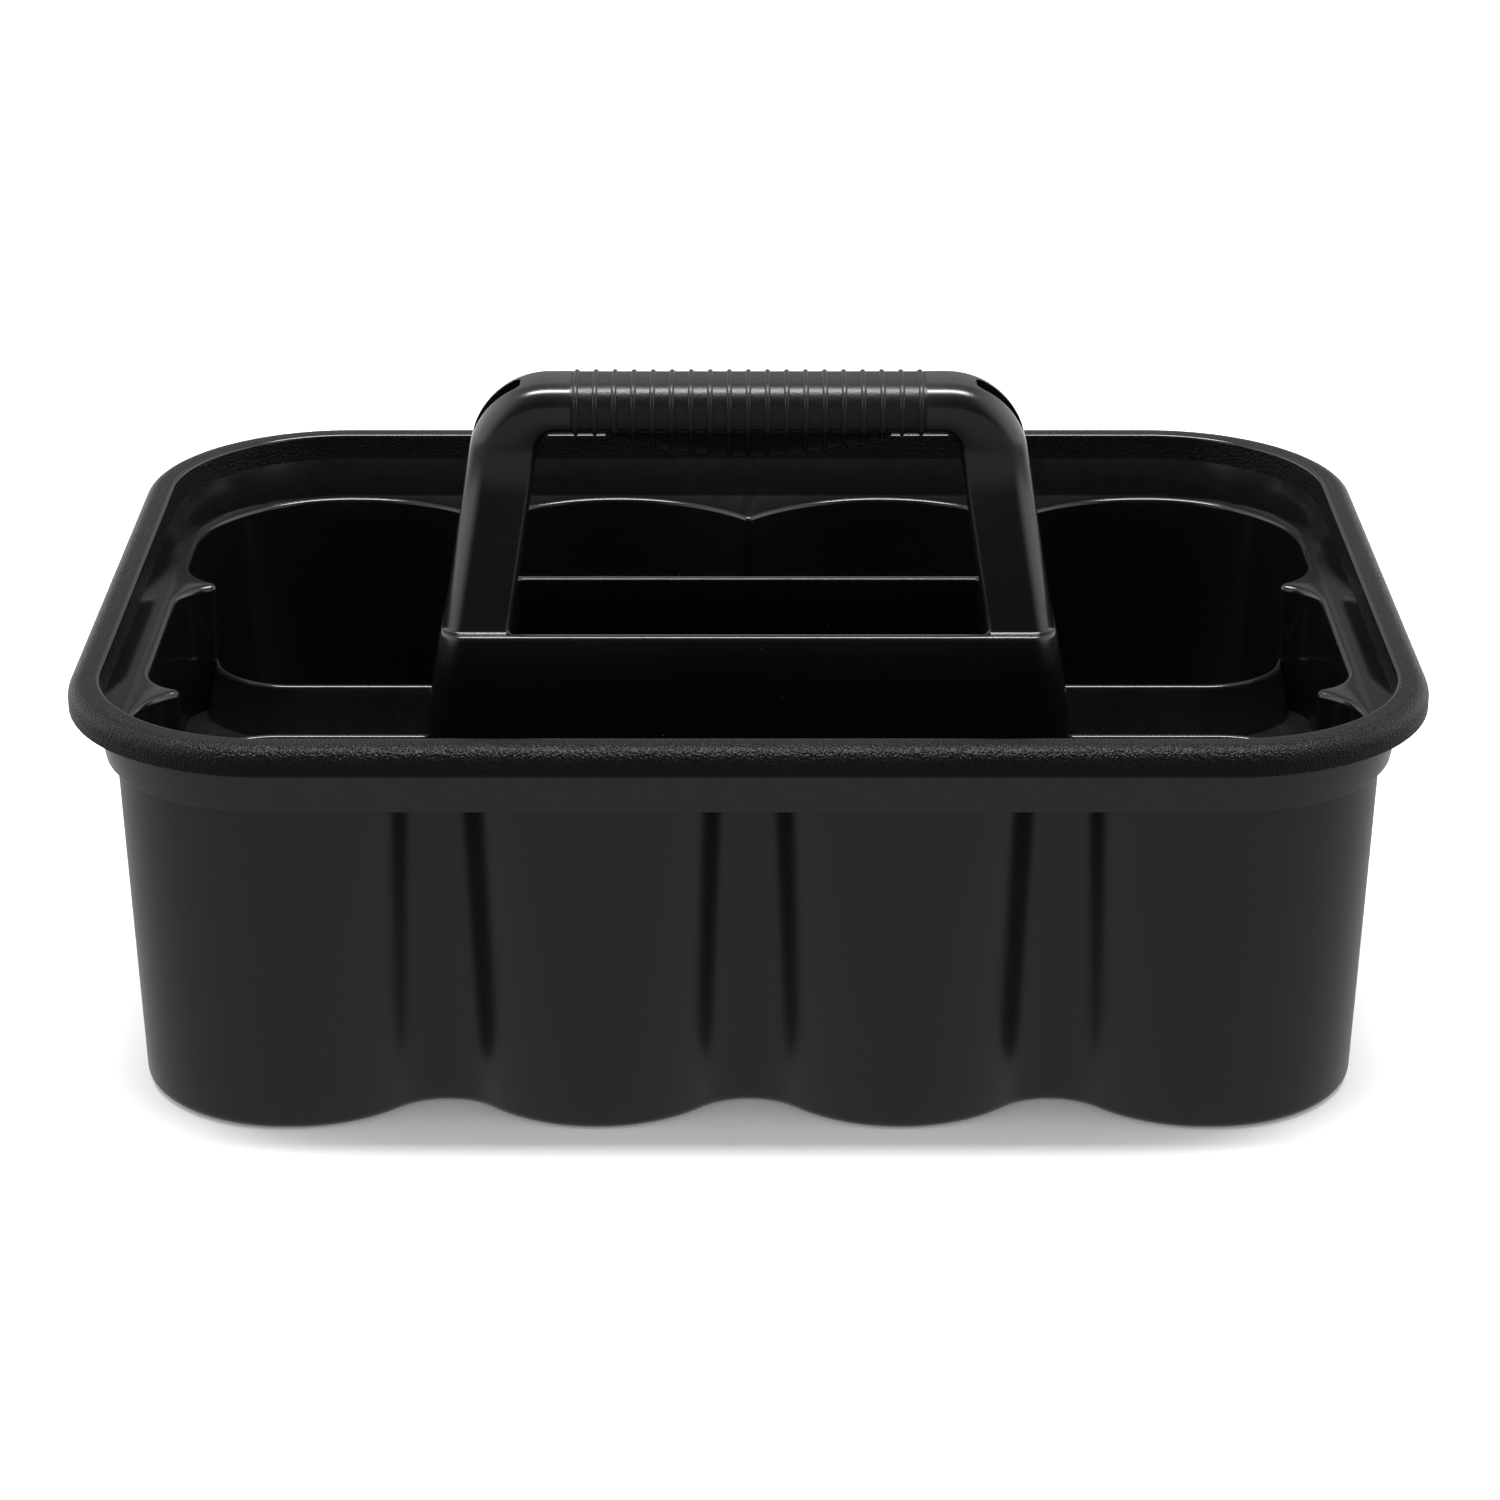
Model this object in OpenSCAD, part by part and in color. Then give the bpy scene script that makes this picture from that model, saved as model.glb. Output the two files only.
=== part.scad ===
// Cleaning caddy: a scalloped tub with eight bottle bays, a centre bin, two raised end
// pockets and a fixed bail handle. Millimetres, +Z up, base on Z = 0, long side along X,
// the back towards +Y. Each moulded region is a node of its own.

/* [Overall size] */
// Length over the rim, along X
overall_length = 381; // [340:1:430]
// Depth over the rim, along Y
overall_depth = 280; // [255:1:310]
// Height from the base to the top of the grip ribs
overall_height = 182.5; // [172:0.5:200]
// Height of the rim's top
rim_top = 121.5; // [112:0.5:128]

/* [Rim and collar] */
// Corner radius of the rim's outer edge
rim_corner = 60; // [54:0.5:64]
// Width of the rim seen from above
rim_width = 9; // [7.5:0.1:11]
// Height of the rim's outer skirt
rim_skirt = 8.2; // [6.5:0.1:10]
// Thickness of the rim's web and skirt
rim_wall = 2.2; // [1.8:0.1:2.8]
// Radius on the rim's outer top edge
rim_round = 4.6; // [3:0.1:5.5]
// Drop from the rim's top to the ledge
ledge_drop = 20.3; // [18:0.1:24]
// Inset of the ledge's outer crease from the rim's outer edge
ledge_inset = 11.2; // [10:0.1:13]

/* [Tub] */
// Floor thickness
floor_thick = 3; // [2.2:0.1:4]
// Inset of the body's outside under the collar, from the rim's outer edge
body_inset_top = 12.6; // [11.5:0.1:14]
// Extra inset of the body's outside at the base, at the two ends
draft_ends = 3.8; // [2:0.1:5]
// Extra inset of the body's outside at the base, at the front and back
draft_sides = 1.8; // [1:0.1:3]
// Wall thickness at the middle of a bay
wall = 2.2; // [1.8:0.1:3]
// Radius on the outside bottom edge
base_round = 3; // [2:0.1:4]

/* [Bays] */
// Depth of the flutes between bays, outside at the ledge
flute_top = 13.5; // [12:0.1:16]
// Depth of the flutes between bays, outside at the base
flute_base = 17.2; // [14:0.1:19]
// Half width of a flute at the ledge, narrower than at the base
flute_reach = 28; // [24:0.5:36]
// Depth of the ridges between bays, inside
ridge_depth = 18.8; // [17:0.1:21]
// Tip radius of the inside ridges
ridge_tip = 2.4; // [1.5:0.1:4]
// Distance of the end ridges from the middle of the end wall
end_ridge_y = 44.8; // [40:0.1:48]
// Depth of the two ridges on each end wall, inside
end_ridge_depth = 10.6; // [9:0.1:12]
// Depth of the two flutes on each end wall, outside
end_flute_depth = 6.5; // [5:0.1:7.5]

/* [Centre bin] */
// Drop from the rim's top to the bin's top
bin_drop = 11; // [8:0.1:16]
// Length of the bin over its top edge
bin_length = 182; // [170:0.5:192]
// Depth of the bin over its top edge
bin_depth = 53.4; // [48:0.1:58]
// Bin wall thickness
bin_wall = 3.2; // [2.4:0.1:4]
// Corner radius of the bin's outside
bin_corner = 8; // [6:0.1:10]
// Outward slope of the bin's end walls, mm per mm of height
bin_end_slope = 0.165; // [0.12:0.005:0.18]
// Outward slope of the bin's long walls, mm per mm of height
bin_side_slope = 0.035; // [0.01:0.005:0.05]

/* [End pockets] */
// Drop from the rim's top to the pocket lips
lip_drop = 44.5; // [40:0.1:50]
// Depth of the pockets below their lips
pocket_depth = 16; // [12:0.1:20]
// Distance of a lip's pocket side from the centre line
lip_y = 19; // [16:0.1:22]
// Thickness of the lips and of the pocket floor
lip_wall = 2.4; // [1.8:0.1:3]

/* [Handle] */
// Depth of the handle, along Y
handle_depth = 24; // [20:0.1:28]
// Width of a leg, along X
leg_width = 20.2; // [17:0.1:23]
// Height of the cross bar
bar_height = 14; // [12:0.1:16]
// Radius of the outer shoulders
shoulder_round = 24; // [18:0.1:26]
// Radius of the inner corners
inner_round = 5.5; // [4:0.1:12]
// Wall thickness beside the shoulder slots
slot_wall = 7.5; // [6:0.1:9]

/* [Grip] */
// Length of the ribbed grip
grip_length = 104; // [92:1:108]
// Distance between ribs
rib_pitch = 5.6; // [5:0.1:6]
// Height of a rib over the grip's surface
rib_height = 0.6; // [0.4:0.1:1]
// Width of a rib
rib_width = 1.5; // [1.2:0.1:2]
// Length of the finger-side belly
belly_length = 90; // [80:1:96]
// Depth of the finger-side belly at its middle
belly_depth = 9.4; // [7:0.1:11]

/* [Hidden] */
$fn = 96;
RIBS = 19;
BAYS = 4;
LAP = 0.6;
CORE_GAP = 2.4;
TENON = 2.6;
BELLY_INSET = 3;
FOOT = 2.4;
TINY = 0.02;
MOUTH_CORNER = 1.5;
LEG_STEP = 0.6;
ARC_STEPS = 6;
TIP_STEPS = 3;
CORNER_STEPS = 12;
BEND_STEPS = 10;
// Half widths of an end ridge, towards the middle of the wall and towards the corner
END_REACH = [16.2, 19.6];
// Radii of the outside flutes, at the ledge and at the base
SIDE_ROUND = [12.5, 18];
END_ROUND = [5, 9];

centre_x = overall_length / 2 - rim_corner;
centre_y = overall_depth / 2 - rim_corner;
pitch = 2 * (centre_x - 2) / (BAYS - 1);
ledge_z = rim_top - ledge_drop;
plate_z = ledge_z - 2.4;
collar_foot = ledge_z - 2;
rim_base = rim_top - rim_skirt;
bin_top = rim_top - bin_drop;
lip_z = rim_top - lip_drop;
pocket_z = lip_z - pocket_depth;

body_x = overall_length / 2 - body_inset_top;
body_y = overall_depth / 2 - body_inset_top + 0.6;
bar_top = overall_height - rib_height;
bar_base = bar_top - bar_height;

// Lengthwise half size of the bin's outside at height z
function bin_half_x(z) = bin_length / 2 + (bin_top - z) * bin_end_slope;
// Crosswise half size of the bin's outside at height z
function bin_half_y(z) = bin_depth / 2 + (bin_top - z) * bin_side_slope;

// Share of the way down from the ledge to the base at height z
function down(z) = (plate_z - z) / plate_z;
// Half sizes of the body's outside and inside at height z
function out_x(z) = body_x - draft_ends * down(z);
function out_y(z) = body_y - draft_sides * down(z);
function in_x(z) = out_x(z) - wall;
function in_y(z) = out_y(z) - wall;

// Points [along, depth] of a valley: two arcs of half widths ha and hb that meet
// at depth s in a round of radius r
function arc_r(h, s, r) = (h * h + s * s) / (2 * s) - r;
function arc_a(h, s, r) = asin(h / (arc_r(h, s, r) + r));
function arm(h, s, r) = [
    for (i = [0:ARC_STEPS])
        let (q = arc_r(h, s, r), a = arc_a(h, s, r) * i / ARC_STEPS)
        [-h + q * sin(a), q - q * cos(a)]
];
function tip(h, s, r) = [
    for (i = [1:TIP_STEPS])
        let (a = arc_a(h, s, r) * (1 - i / TIP_STEPS))
        [-r * sin(a), s - r + r * cos(a)]
];
function half_valley(h, s, r) = concat(arm(h, s, r), tip(h, s, r));
function flip(list) = [for (i = [len(list) - 1:-1:0]) list[i]];
function valley(ha, hb, s, r) = let (far = half_valley(hb, s, r)) concat(
    half_valley(ha, s, r),
    [for (i = [len(far) - 2:-1:0]) [-far[i][0], far[i][1]]]
);

// One quarter of the outline, from the middle of the end wall to the middle of the
// long side: end flat, end ridge, corner, ridge between bays, half ridge at the middle
function quarter(a, b, e, er, s, r, radius, reach) = let (
    cx = a - radius,
    ends = valley(END_REACH[0], END_REACH[1], e, er),
    sides = valley(min(cx - pitch, reach), reach, s, r),
    middle = half_valley(reach, s, r)
) concat(
    [[a, 0]],
    [for (p = ends) [a - p[1], end_ridge_y + p[0]]],
    [
        for (i = [0:CORNER_STEPS])
            let (t = 90 * i / CORNER_STEPS)
            [cx + radius * cos(t), b - radius + radius * sin(t)]
    ],
    [for (i = [1:len(sides) - 2]) [pitch - sides[i][0], b - sides[i][1]]],
    [for (p = middle) [-p[0], b - p[1]]]
);

// The closed outline, from a quarter that starts on +X and ends on +Y
function ring(q) = let (n = len(q)) concat(
    q,
    [for (i = [n - 2:-1:0]) [-q[i][0], q[i][1]]],
    [for (i = [1:n - 1]) [-q[i][0], -q[i][1]]],
    [for (i = [n - 2:-1:1]) [q[i][0], -q[i][1]]]
);

function corner_r(half_x) = half_x - centre_x;
// A value that runs from its size at the ledge to its size at the base
function run(at_ledge, at_base, z) = at_ledge + (at_base - at_ledge) * down(z);
// Depth and tip radius of the inside ridges at height z: sharp at the ledge, and a wall's
// thickness off the outside flutes at the base
function side_ridge(z) = run(ridge_depth, flute_base, z);
function side_tip(z) = run(ridge_tip, SIDE_ROUND[1] + wall, z);
function end_ridge(z) = run(end_ridge_depth, end_flute_depth, z);
function end_tip(z) = run(ridge_tip, END_ROUND[1] + wall, z);
function outer_quarter(z, inset) = quarter(
    out_x(z) - inset, out_y(z) - inset,
    end_flute_depth, run(END_ROUND[0], END_ROUND[1], z),
    run(flute_top, flute_base, z), run(SIDE_ROUND[0], SIDE_ROUND[1], z),
    corner_r(out_x(z)) - inset,
    run(flute_reach, pitch / 2, z)
);
function inner_quarter(z, inset) = quarter(
    in_x(z) - inset, in_y(z) - inset,
    end_ridge(z), end_tip(z), side_ridge(z), side_tip(z),
    corner_r(in_x(z)) - inset, pitch / 2
);
function plain_quarter(half_x, half_y) =
    quarter(half_x, half_y, TINY, TINY / 4, TINY, TINY / 4, corner_r(half_x), pitch / 2);

function lift(points, z) = [for (p = points) [p[0], p[1], z]];

// The mean of a list of points
function mean(list) = [for (k = [0:2]) [for (p = list) p[k]] * [for (p = list) 1] / len(list)];

// A closed solid through a list of rings that all have the same number of points.
// The ends are closed with a fan about each end ring's mean, or with closed = true the
// last ring joins the first.
module loft(rings, closed = false) {
    n = len(rings[0]);
    count = len(rings);
    last = (count - 1) * n;
    points = concat([for (r = rings) each r], [mean(rings[0]), mean(rings[count - 1])]);
    sides = [
        for (k = [0:count - (closed ? 1 : 2)], i = [0:n - 1], half = [0, 1])
            let (
                j = (i + 1) % n,
                next = (k + 1) % count,
                a = k * n + i,
                b = k * n + j,
                c = next * n + j,
                d = next * n + i
            )
            half == 0 ? [a, c, b] : [a, d, c]
    ];
    first_cap = [for (i = [0:n - 1]) [i, (i + 1) % n, count * n]];
    last_cap = [for (i = [0:n - 1]) [last + (i + 1) % n, last + i, count * n + 1]];
    polyhedron(
        points = closed ? [for (r = rings) each r] : points,
        faces = closed ? sides : concat(sides, first_cap, last_cap),
        convexity = 10
    );
}

// The tub's rings, up the outside, across the ledge plate and down the inside
function tub_rings() = let (
    plate_x = overall_length / 2 - ledge_inset,
    plate_y = overall_depth / 2 - ledge_inset
) [
    lift(ring(outer_quarter(0, base_round)), 0),
    lift(ring(outer_quarter(0, base_round * 0.5)), base_round * 0.134),
    lift(ring(outer_quarter(0, base_round * 0.134)), base_round * 0.5),
    lift(ring(outer_quarter(base_round, 0)), base_round),
    lift(ring(outer_quarter(plate_z / 2, 0)), plate_z / 2),
    lift(ring(outer_quarter(plate_z, 0)), plate_z),
    lift(ring(plain_quarter(plate_x, plate_y)), plate_z),
    lift(ring(plain_quarter(plate_x, plate_y)), ledge_z),
    lift(ring(inner_quarter(plate_z, -1)), ledge_z),
    lift(ring(inner_quarter(plate_z, 0)), ledge_z - 1.4),
    lift(ring(inner_quarter(plate_z / 2, 0)), plate_z / 2),
    lift(ring(inner_quarter(floor_thick, 0)), floor_thick + FOOT),
    lift(ring(inner_quarter(floor_thick, FOOT * 0.3)), floor_thick + FOOT * 0.3),
    lift(ring(inner_quarter(floor_thick, FOOT)), floor_thick),
    lift(ring(inner_quarter(floor_thick, FOOT)), 0)
];

// A profile in [outward, up] from the corner centres, swept round the whole caddy
module around(profile) {
    for (sx = [-1, 1], sy = [-1, 1])
        translate([sx * centre_x, sy * centre_y, 0])
            rotate([0, 0, sx > 0 ? (sy > 0 ? 0 : -90) : (sy > 0 ? 90 : 180)])
                rotate_extrude(angle = 90)
                    polygon(profile);
    for (s = [-1, 1]) {
        translate([0, s * centre_y, 0])
            rotate([90, 0, s * 90])
                linear_extrude(height = 2 * centre_x, center = true)
                    polygon(profile);
        translate([s * centre_x, 0, 0])
            rotate([90, 0, s > 0 ? 0 : 180])
                linear_extrude(height = 2 * centre_y, center = true)
                    polygon(profile);
    }
}

// A block with round corners whose sides lean, between two heights
module leaning_block(x0, y0, x1, y1, radius, z0, z1) {
    steps = 6;
    outline = function (x, y) [
        for (c = [[1, 1, 0], [-1, 1, 90], [-1, -1, 180], [1, -1, 270]], i = [0:steps])
            let (t = c[2] + 90 * i / steps)
            [c[0] * (x - radius) + radius * cos(t), c[1] * (y - radius) + radius * sin(t)]
    ];
    loft([lift(outline(x0, y0), z0), lift(outline(x1, y1), z1)]);
}

// A straight-sided leaning box about a local middle, from corner to corner at two heights
module leaning_box(xa0, xb0, y0, xa1, xb1, y1, z0, z1) {
    middle = (xa0 + xb0) / 2;
    outline = function (xa, xb, y) [
        [xa - middle, -y], [xb - middle, -y], [xb - middle, y], [xa - middle, y]
    ];
    translate([middle, 0, 0])
        loft([lift(outline(xa0, xb0, y0), z0), lift(outline(xa1, xb1, y1), z1)]);
}

// An upright block with round corners
module rounded_block(x0, x1, half_y, radius, z0, z1) {
    steps = 6;
    mid = (x0 + x1) / 2;
    half = (x1 - x0) / 2;
    translate([mid, 0, z0])
        linear_extrude(height = z1 - z0)
            polygon([
                for (c = [[1, 1, 0], [-1, 1, 90], [-1, -1, 180], [1, -1, 270]], i = [0:steps])
                    let (t = c[2] + 90 * i / steps)
                    [
                        c[0] * (half - radius) + radius * cos(t),
                        c[1] * (half_y - radius) + radius * sin(t)
                    ]
            ]);
}

opening_half = leg_out(bin_top) - leg_width;
core_start = opening_half + CORE_GAP;

module tub() {
    color([0.05, 0.05, 0.055])
        loft(tub_rings(), true);
}

module floor_pan() {
    core_end = bin_half_x(floor_thick) - bin_wall;
    color([0.05, 0.05, 0.055])
        difference() {
            linear_extrude(height = floor_thick)
                polygon(ring(inner_quarter(floor_thick, FOOT)));
            for (s = [0, 1])
                mirror([s, 0, 0]) {
                    rounded_block(
                        core_start + 1, core_end - 1, bin_depth / 2 - bin_wall, 4,
                        -1, floor_thick + 1
                    );
                    rounded_block(
                        core_end + bin_wall + 2, in_x(0) - end_ridge(0) - 3,
                        lip_y - 3, 4, -1, floor_thick + 1
                    );
                }
        }
}

module collar() {
    foot_out = rim_corner - ledge_inset + 1.6;
    top_in = rim_corner - rim_width - 0.1;
    color([0.06, 0.06, 0.065])
        around([
            [rim_corner - ledge_inset, collar_foot],
            [foot_out, collar_foot],
            [top_in + rim_wall, rim_base],
            [top_in, rim_base],
            [rim_corner - ledge_inset, ledge_z]
        ]);
}

module rim() {
    inside = rim_corner - rim_width;
    plate = 2.5;
    steps = 6;
    color([0.04, 0.04, 0.042])
        around(concat(
            [
                [inside - 0.1, rim_base],
                [inside + rim_wall, rim_base],
                [inside + rim_wall, rim_top - plate],
                [rim_corner - rim_wall, rim_top - plate],
                [rim_corner - rim_wall, rim_base],
                [rim_corner, rim_base]
            ],
            [
                for (i = [0:steps])
                    let (t = 90 * i / steps)
                    [
                        rim_corner - rim_round + rim_round * cos(t),
                        rim_top - rim_round + rim_round * sin(t)
                    ]
            ],
            [[inside + 0.6, rim_top], [inside - 0.1, rim_top - 0.8]]
        ));
}

module centre_bin() {
    deck = 3;
    bottom = floor_thick - 1;
    top = bin_top + 1;
    color([0.045, 0.045, 0.05])
        difference() {
            leaning_block(
                bin_half_x(floor_thick), bin_half_y(floor_thick),
                bin_half_x(bin_top), bin_half_y(bin_top),
                bin_corner, floor_thick, bin_top
            );
            leaning_block(
                opening_half, bin_half_y(bottom) - bin_wall,
                opening_half, bin_half_y(top) - bin_wall,
                MOUTH_CORNER, bottom, top
            );
            for (s = [0, 1])
                mirror([s, 0, 0])
                    leaning_box(
                        core_start, bin_half_x(bottom) - bin_wall, bin_half_y(bottom) - bin_wall,
                        core_start, bin_half_x(bin_top - deck) - bin_wall,
                        bin_half_y(bin_top - deck) - bin_wall,
                        bottom, bin_top - deck
                    );
        }
}

// The end pocket on the +X side: two lips that lean with the walls they join, and a floor
module end_pocket() {
    turn_x = centre_x + 9.5;
    turn_r = 28;
    turn = 65;
    bite = 1.1;
    steps = 8;
    reach = function (z) in_x(z) - end_ridge(z);
    top_span = reach(lip_z) - bin_half_x(lip_z);
    taper = top_span / (reach(floor_thick) - bin_half_x(floor_thick));
    fixed_x = (bin_half_x(lip_z) - taper * bin_half_x(floor_thick)) / (1 - taper);
    // The lip's line at a distance off its pocket side, seen at its top
    line = function (off) concat(
        [[bin_half_x(lip_z) - LAP, lip_y + off]],
        [
            for (i = [0:steps])
                let (t = turn * i / steps, r = turn_r - off)
                [turn_x + r * sin(t), lip_y + turn_r - r * cos(t)]
        ],
        [[reach(lip_z) + bite, end_ridge_y - 1.4 + 1.2 * off]]
    );
    shrink = function (list, k) [for (p = list) [(p[0] - fixed_x) * k, p[1]]];
    at_floor = 1 / taper;
    at_pocket = 1 - (1 - 1 / taper) * (lip_z - pocket_z) / (lip_z - floor_thick);
    move = function (list, k, z) [for (p = shrink(list, k)) [p[0] + fixed_x, p[1], z]];
    near = line(0);
    far = line(lip_wall);
    low = [move(near, at_floor, floor_thick), move(far, at_floor, floor_thick)];
    high = [move(near, 1, lip_z), move(far, 1, lip_z)];
    for (s = [0, 1])
        mirror([0, s, 0])
            loft([
                for (i = [0:len(near) - 1])
                    [low[0][i], low[1][i], high[1][i], high[0][i]]
            ]);
    arm_points = arm(END_REACH[0], end_ridge(pocket_z), end_tip(pocket_z));
    half = concat(
        [for (p = shrink(line(lip_wall / 2), at_pocket)) [p[0] + fixed_x, p[1]]],
        [
            for (i = [ARC_STEPS - 1:-1:0])
                [in_x(pocket_z) - arm_points[i][1] + LAP, end_ridge_y + arm_points[i][0]]
        ]
    );
    translate([0, 0, pocket_z - lip_wall])
        linear_extrude(height = lip_wall)
            polygon(concat(half, [for (p = flip(half)) [p[0], -p[1]]]));
}

module end_pocket_right() {
    color([0.05, 0.05, 0.055])
        end_pocket();
}

module end_pocket_left() {
    color([0.05, 0.05, 0.055])
        mirror([1, 0, 0])
            end_pocket();
}

// The handle's outline in [along, up], one half from the leg's foot over the shoulder
function leg_out(z) = bin_length / 2 - LEG_STEP - (z - bin_top) * bin_end_slope;
function bend(out_x, z, r) = let (
    lean = atan(bin_end_slope),
    cx = out_x - r / cos(lean)
) [
    for (i = [0:BEND_STEPS])
        let (t = lean + (90 - lean) * i / BEND_STEPS)
        [cx + r * cos(t), z + r * sin(t)]
];

module handle_bail() {
    shoulder_z = bar_top - shoulder_round;
    inner_z = bar_base - inner_round;
    foot_half = bin_depth / 2 - bin_wall;
    outer = concat(
        [[leg_out(shoulder_z), shoulder_z]],
        bend(leg_out(shoulder_z), shoulder_z, shoulder_round)
    );
    inner = concat(
        [[leg_out(shoulder_z) - leg_width, shoulder_z]],
        bend(leg_out(inner_z) - leg_width, inner_z, inner_round)
    );
    mirrored = function (list) [for (p = flip(list)) [-p[0], p[1]]];
    slot_x = leg_out(shoulder_z) - shoulder_round * 0.3;
    slot_z = shoulder_z + shoulder_round * 0.7;
    color([0.045, 0.045, 0.05])
        difference() {
            union() {
                rotate([90, 0, 0])
                    linear_extrude(height = handle_depth, center = true)
                        polygon(concat(outer, mirrored(outer), flip(mirrored(inner)), flip(inner)));
                for (s = [0, 1])
                    mirror([s, 0, 0])
                        leaning_box(
                            leg_out(bin_top) - leg_width, leg_out(bin_top), foot_half,
                            leg_out(shoulder_z) - leg_width, leg_out(shoulder_z), handle_depth / 2,
                            bin_top, shoulder_z
                        );
            }
            for (s = [-1, 1])
                translate([s * slot_x, 0, slot_z])
                    rotate([0, s * 45, 0])
                        cube([20, handle_depth - 2 * slot_wall, 13], center = true);
            difference() {
                translate([0, 0, bar_base + bar_height / 2])
                    cube([grip_length, handle_depth + 2, bar_height + 2], center = true);
                grip_core(grip_length + 1);
            }
        }
}

module grip_core(length) {
    translate([0, 0, bar_base + bar_height / 2])
        cube([length, handle_depth - 2 * TENON, bar_height - 2 * TENON], center = true);
}

// A bar along X with a rounded section
module rounded_bar(length, half_y, z0, z1, radius) {
    steps = 3;
    mid = (z0 + z1) / 2;
    half = (z1 - z0) / 2;
    translate([0, 0, mid])
        rotate([90, 0, 90])
            linear_extrude(height = length, center = true)
                polygon([
                    for (c = [[1, 1, 0], [-1, 1, 90], [-1, -1, 180], [1, -1, 270]], i = [0:steps])
                        let (t = c[2] + 90 * i / steps)
                        [
                            c[0] * (half_y - radius) + radius * cos(t),
                            c[1] * (half - radius) + radius * sin(t)
                        ]
                ]);
}

belly_r = (pow(belly_length / 2, 2) + pow(belly_depth, 2)) / (2 * belly_depth);
function belly_z(x) = bar_base - belly_depth + belly_r - sqrt(belly_r * belly_r - x * x);

module grip_sleeve() {
    half_y = handle_depth / 2;
    edge = 4;
    color([0.04, 0.04, 0.042])
        difference() {
            union() {
                rounded_bar(grip_length, half_y - 0.4, bar_base, bar_top, edge);
                rotate([90, 0, 0])
                    linear_extrude(height = 2 * (half_y - BELLY_INSET), center = true)
                        intersection() {
                            translate([0, bar_base - belly_depth + belly_r])
                                circle(r = belly_r);
                            translate([-belly_length / 2, bar_base - belly_depth - 1])
                                square([belly_length, belly_depth + 3]);
                        }
                for (i = [0:RIBS - 1]) {
                    x = (i - (RIBS - 1) / 2) * rib_pitch;
                    translate([x, 0, 0])
                        rounded_bar(
                            rib_width, half_y - 0.4 + rib_height,
                            bar_base - rib_height, bar_top + rib_height, edge + rib_height
                        );
                    if (abs(x) < belly_length / 2 - 4)
                        translate([
                            x - rib_width / 2,
                            -(half_y - BELLY_INSET + rib_height),
                            belly_z(x) - rib_height
                        ])
                            cube([
                                rib_width,
                                2 * (half_y - BELLY_INSET + rib_height),
                                bar_base + 1 - belly_z(x) + rib_height
                            ]);
                }
            }
            grip_core(grip_length + 2);
        }
}

tub();
floor_pan();
collar();
rim();
centre_bin();
end_pocket_left();
end_pocket_right();
handle_bail();
grip_sleeve();
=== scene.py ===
"""Looks of the cleaning caddy: a moulded carrier with eight bays, a centre bin and a bail handle."""

import logging
import math
from dataclasses import dataclass
from enum import Enum
from typing import Optional, Sequence

import bmesh
import bpy
import numpy as np
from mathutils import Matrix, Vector


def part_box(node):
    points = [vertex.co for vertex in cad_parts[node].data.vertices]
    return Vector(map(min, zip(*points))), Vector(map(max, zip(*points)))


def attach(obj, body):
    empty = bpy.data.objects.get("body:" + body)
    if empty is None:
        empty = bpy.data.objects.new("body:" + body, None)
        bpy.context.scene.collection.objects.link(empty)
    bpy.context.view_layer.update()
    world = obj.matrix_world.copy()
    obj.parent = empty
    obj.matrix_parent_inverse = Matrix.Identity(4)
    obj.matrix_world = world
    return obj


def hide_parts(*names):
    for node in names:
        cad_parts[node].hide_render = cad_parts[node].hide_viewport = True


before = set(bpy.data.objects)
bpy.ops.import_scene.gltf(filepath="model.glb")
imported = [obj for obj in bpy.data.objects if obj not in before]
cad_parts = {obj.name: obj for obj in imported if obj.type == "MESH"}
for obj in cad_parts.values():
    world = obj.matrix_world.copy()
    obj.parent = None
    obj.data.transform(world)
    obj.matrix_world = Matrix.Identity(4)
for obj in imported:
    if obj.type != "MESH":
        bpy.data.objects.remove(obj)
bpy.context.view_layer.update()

BODY = "root"
MM = 0.001
CREASE = 38.0
LAP = 0.6
WHITE = (1.0, 1.0, 1.0, 1.0)
DUST_GREY = (0.32, 0.31, 0.3, 1.0)
LOG = logging.getLogger("caddy")

Ring = np.ndarray


class Slot(Enum):
    """The record's material slots."""

    TUB = "tub_plastic"
    RIM = "rim_plastic"
    BIN = "bin_plastic"
    HANDLE = "handle_plastic"
    GRIP = "grip_plastic"


class Wall(Enum):
    """Which side of the body's wall an outline belongs to."""

    OUTSIDE = "outside"
    INSIDE = "inside"


# ---------------------------------------------------------------- mesh helpers


def extent(node: str) -> tuple[np.ndarray, np.ndarray]:
    """A CAD node's lowest and highest corners.

    Args:
        node: The node's name.

    Returns:
        Both corners in millimetres.
    """
    low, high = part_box(node)
    return np.array(low) / MM, np.array(high) / MM


def quarter_turn(steps: int) -> np.ndarray:
    """Angles from 0 to a right angle, in radians.

    Args:
        steps: The number of equal steps.

    Returns:
        The angles, both ends included.
    """
    return np.linspace(0.0, math.pi / 2, steps + 1)


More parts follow.
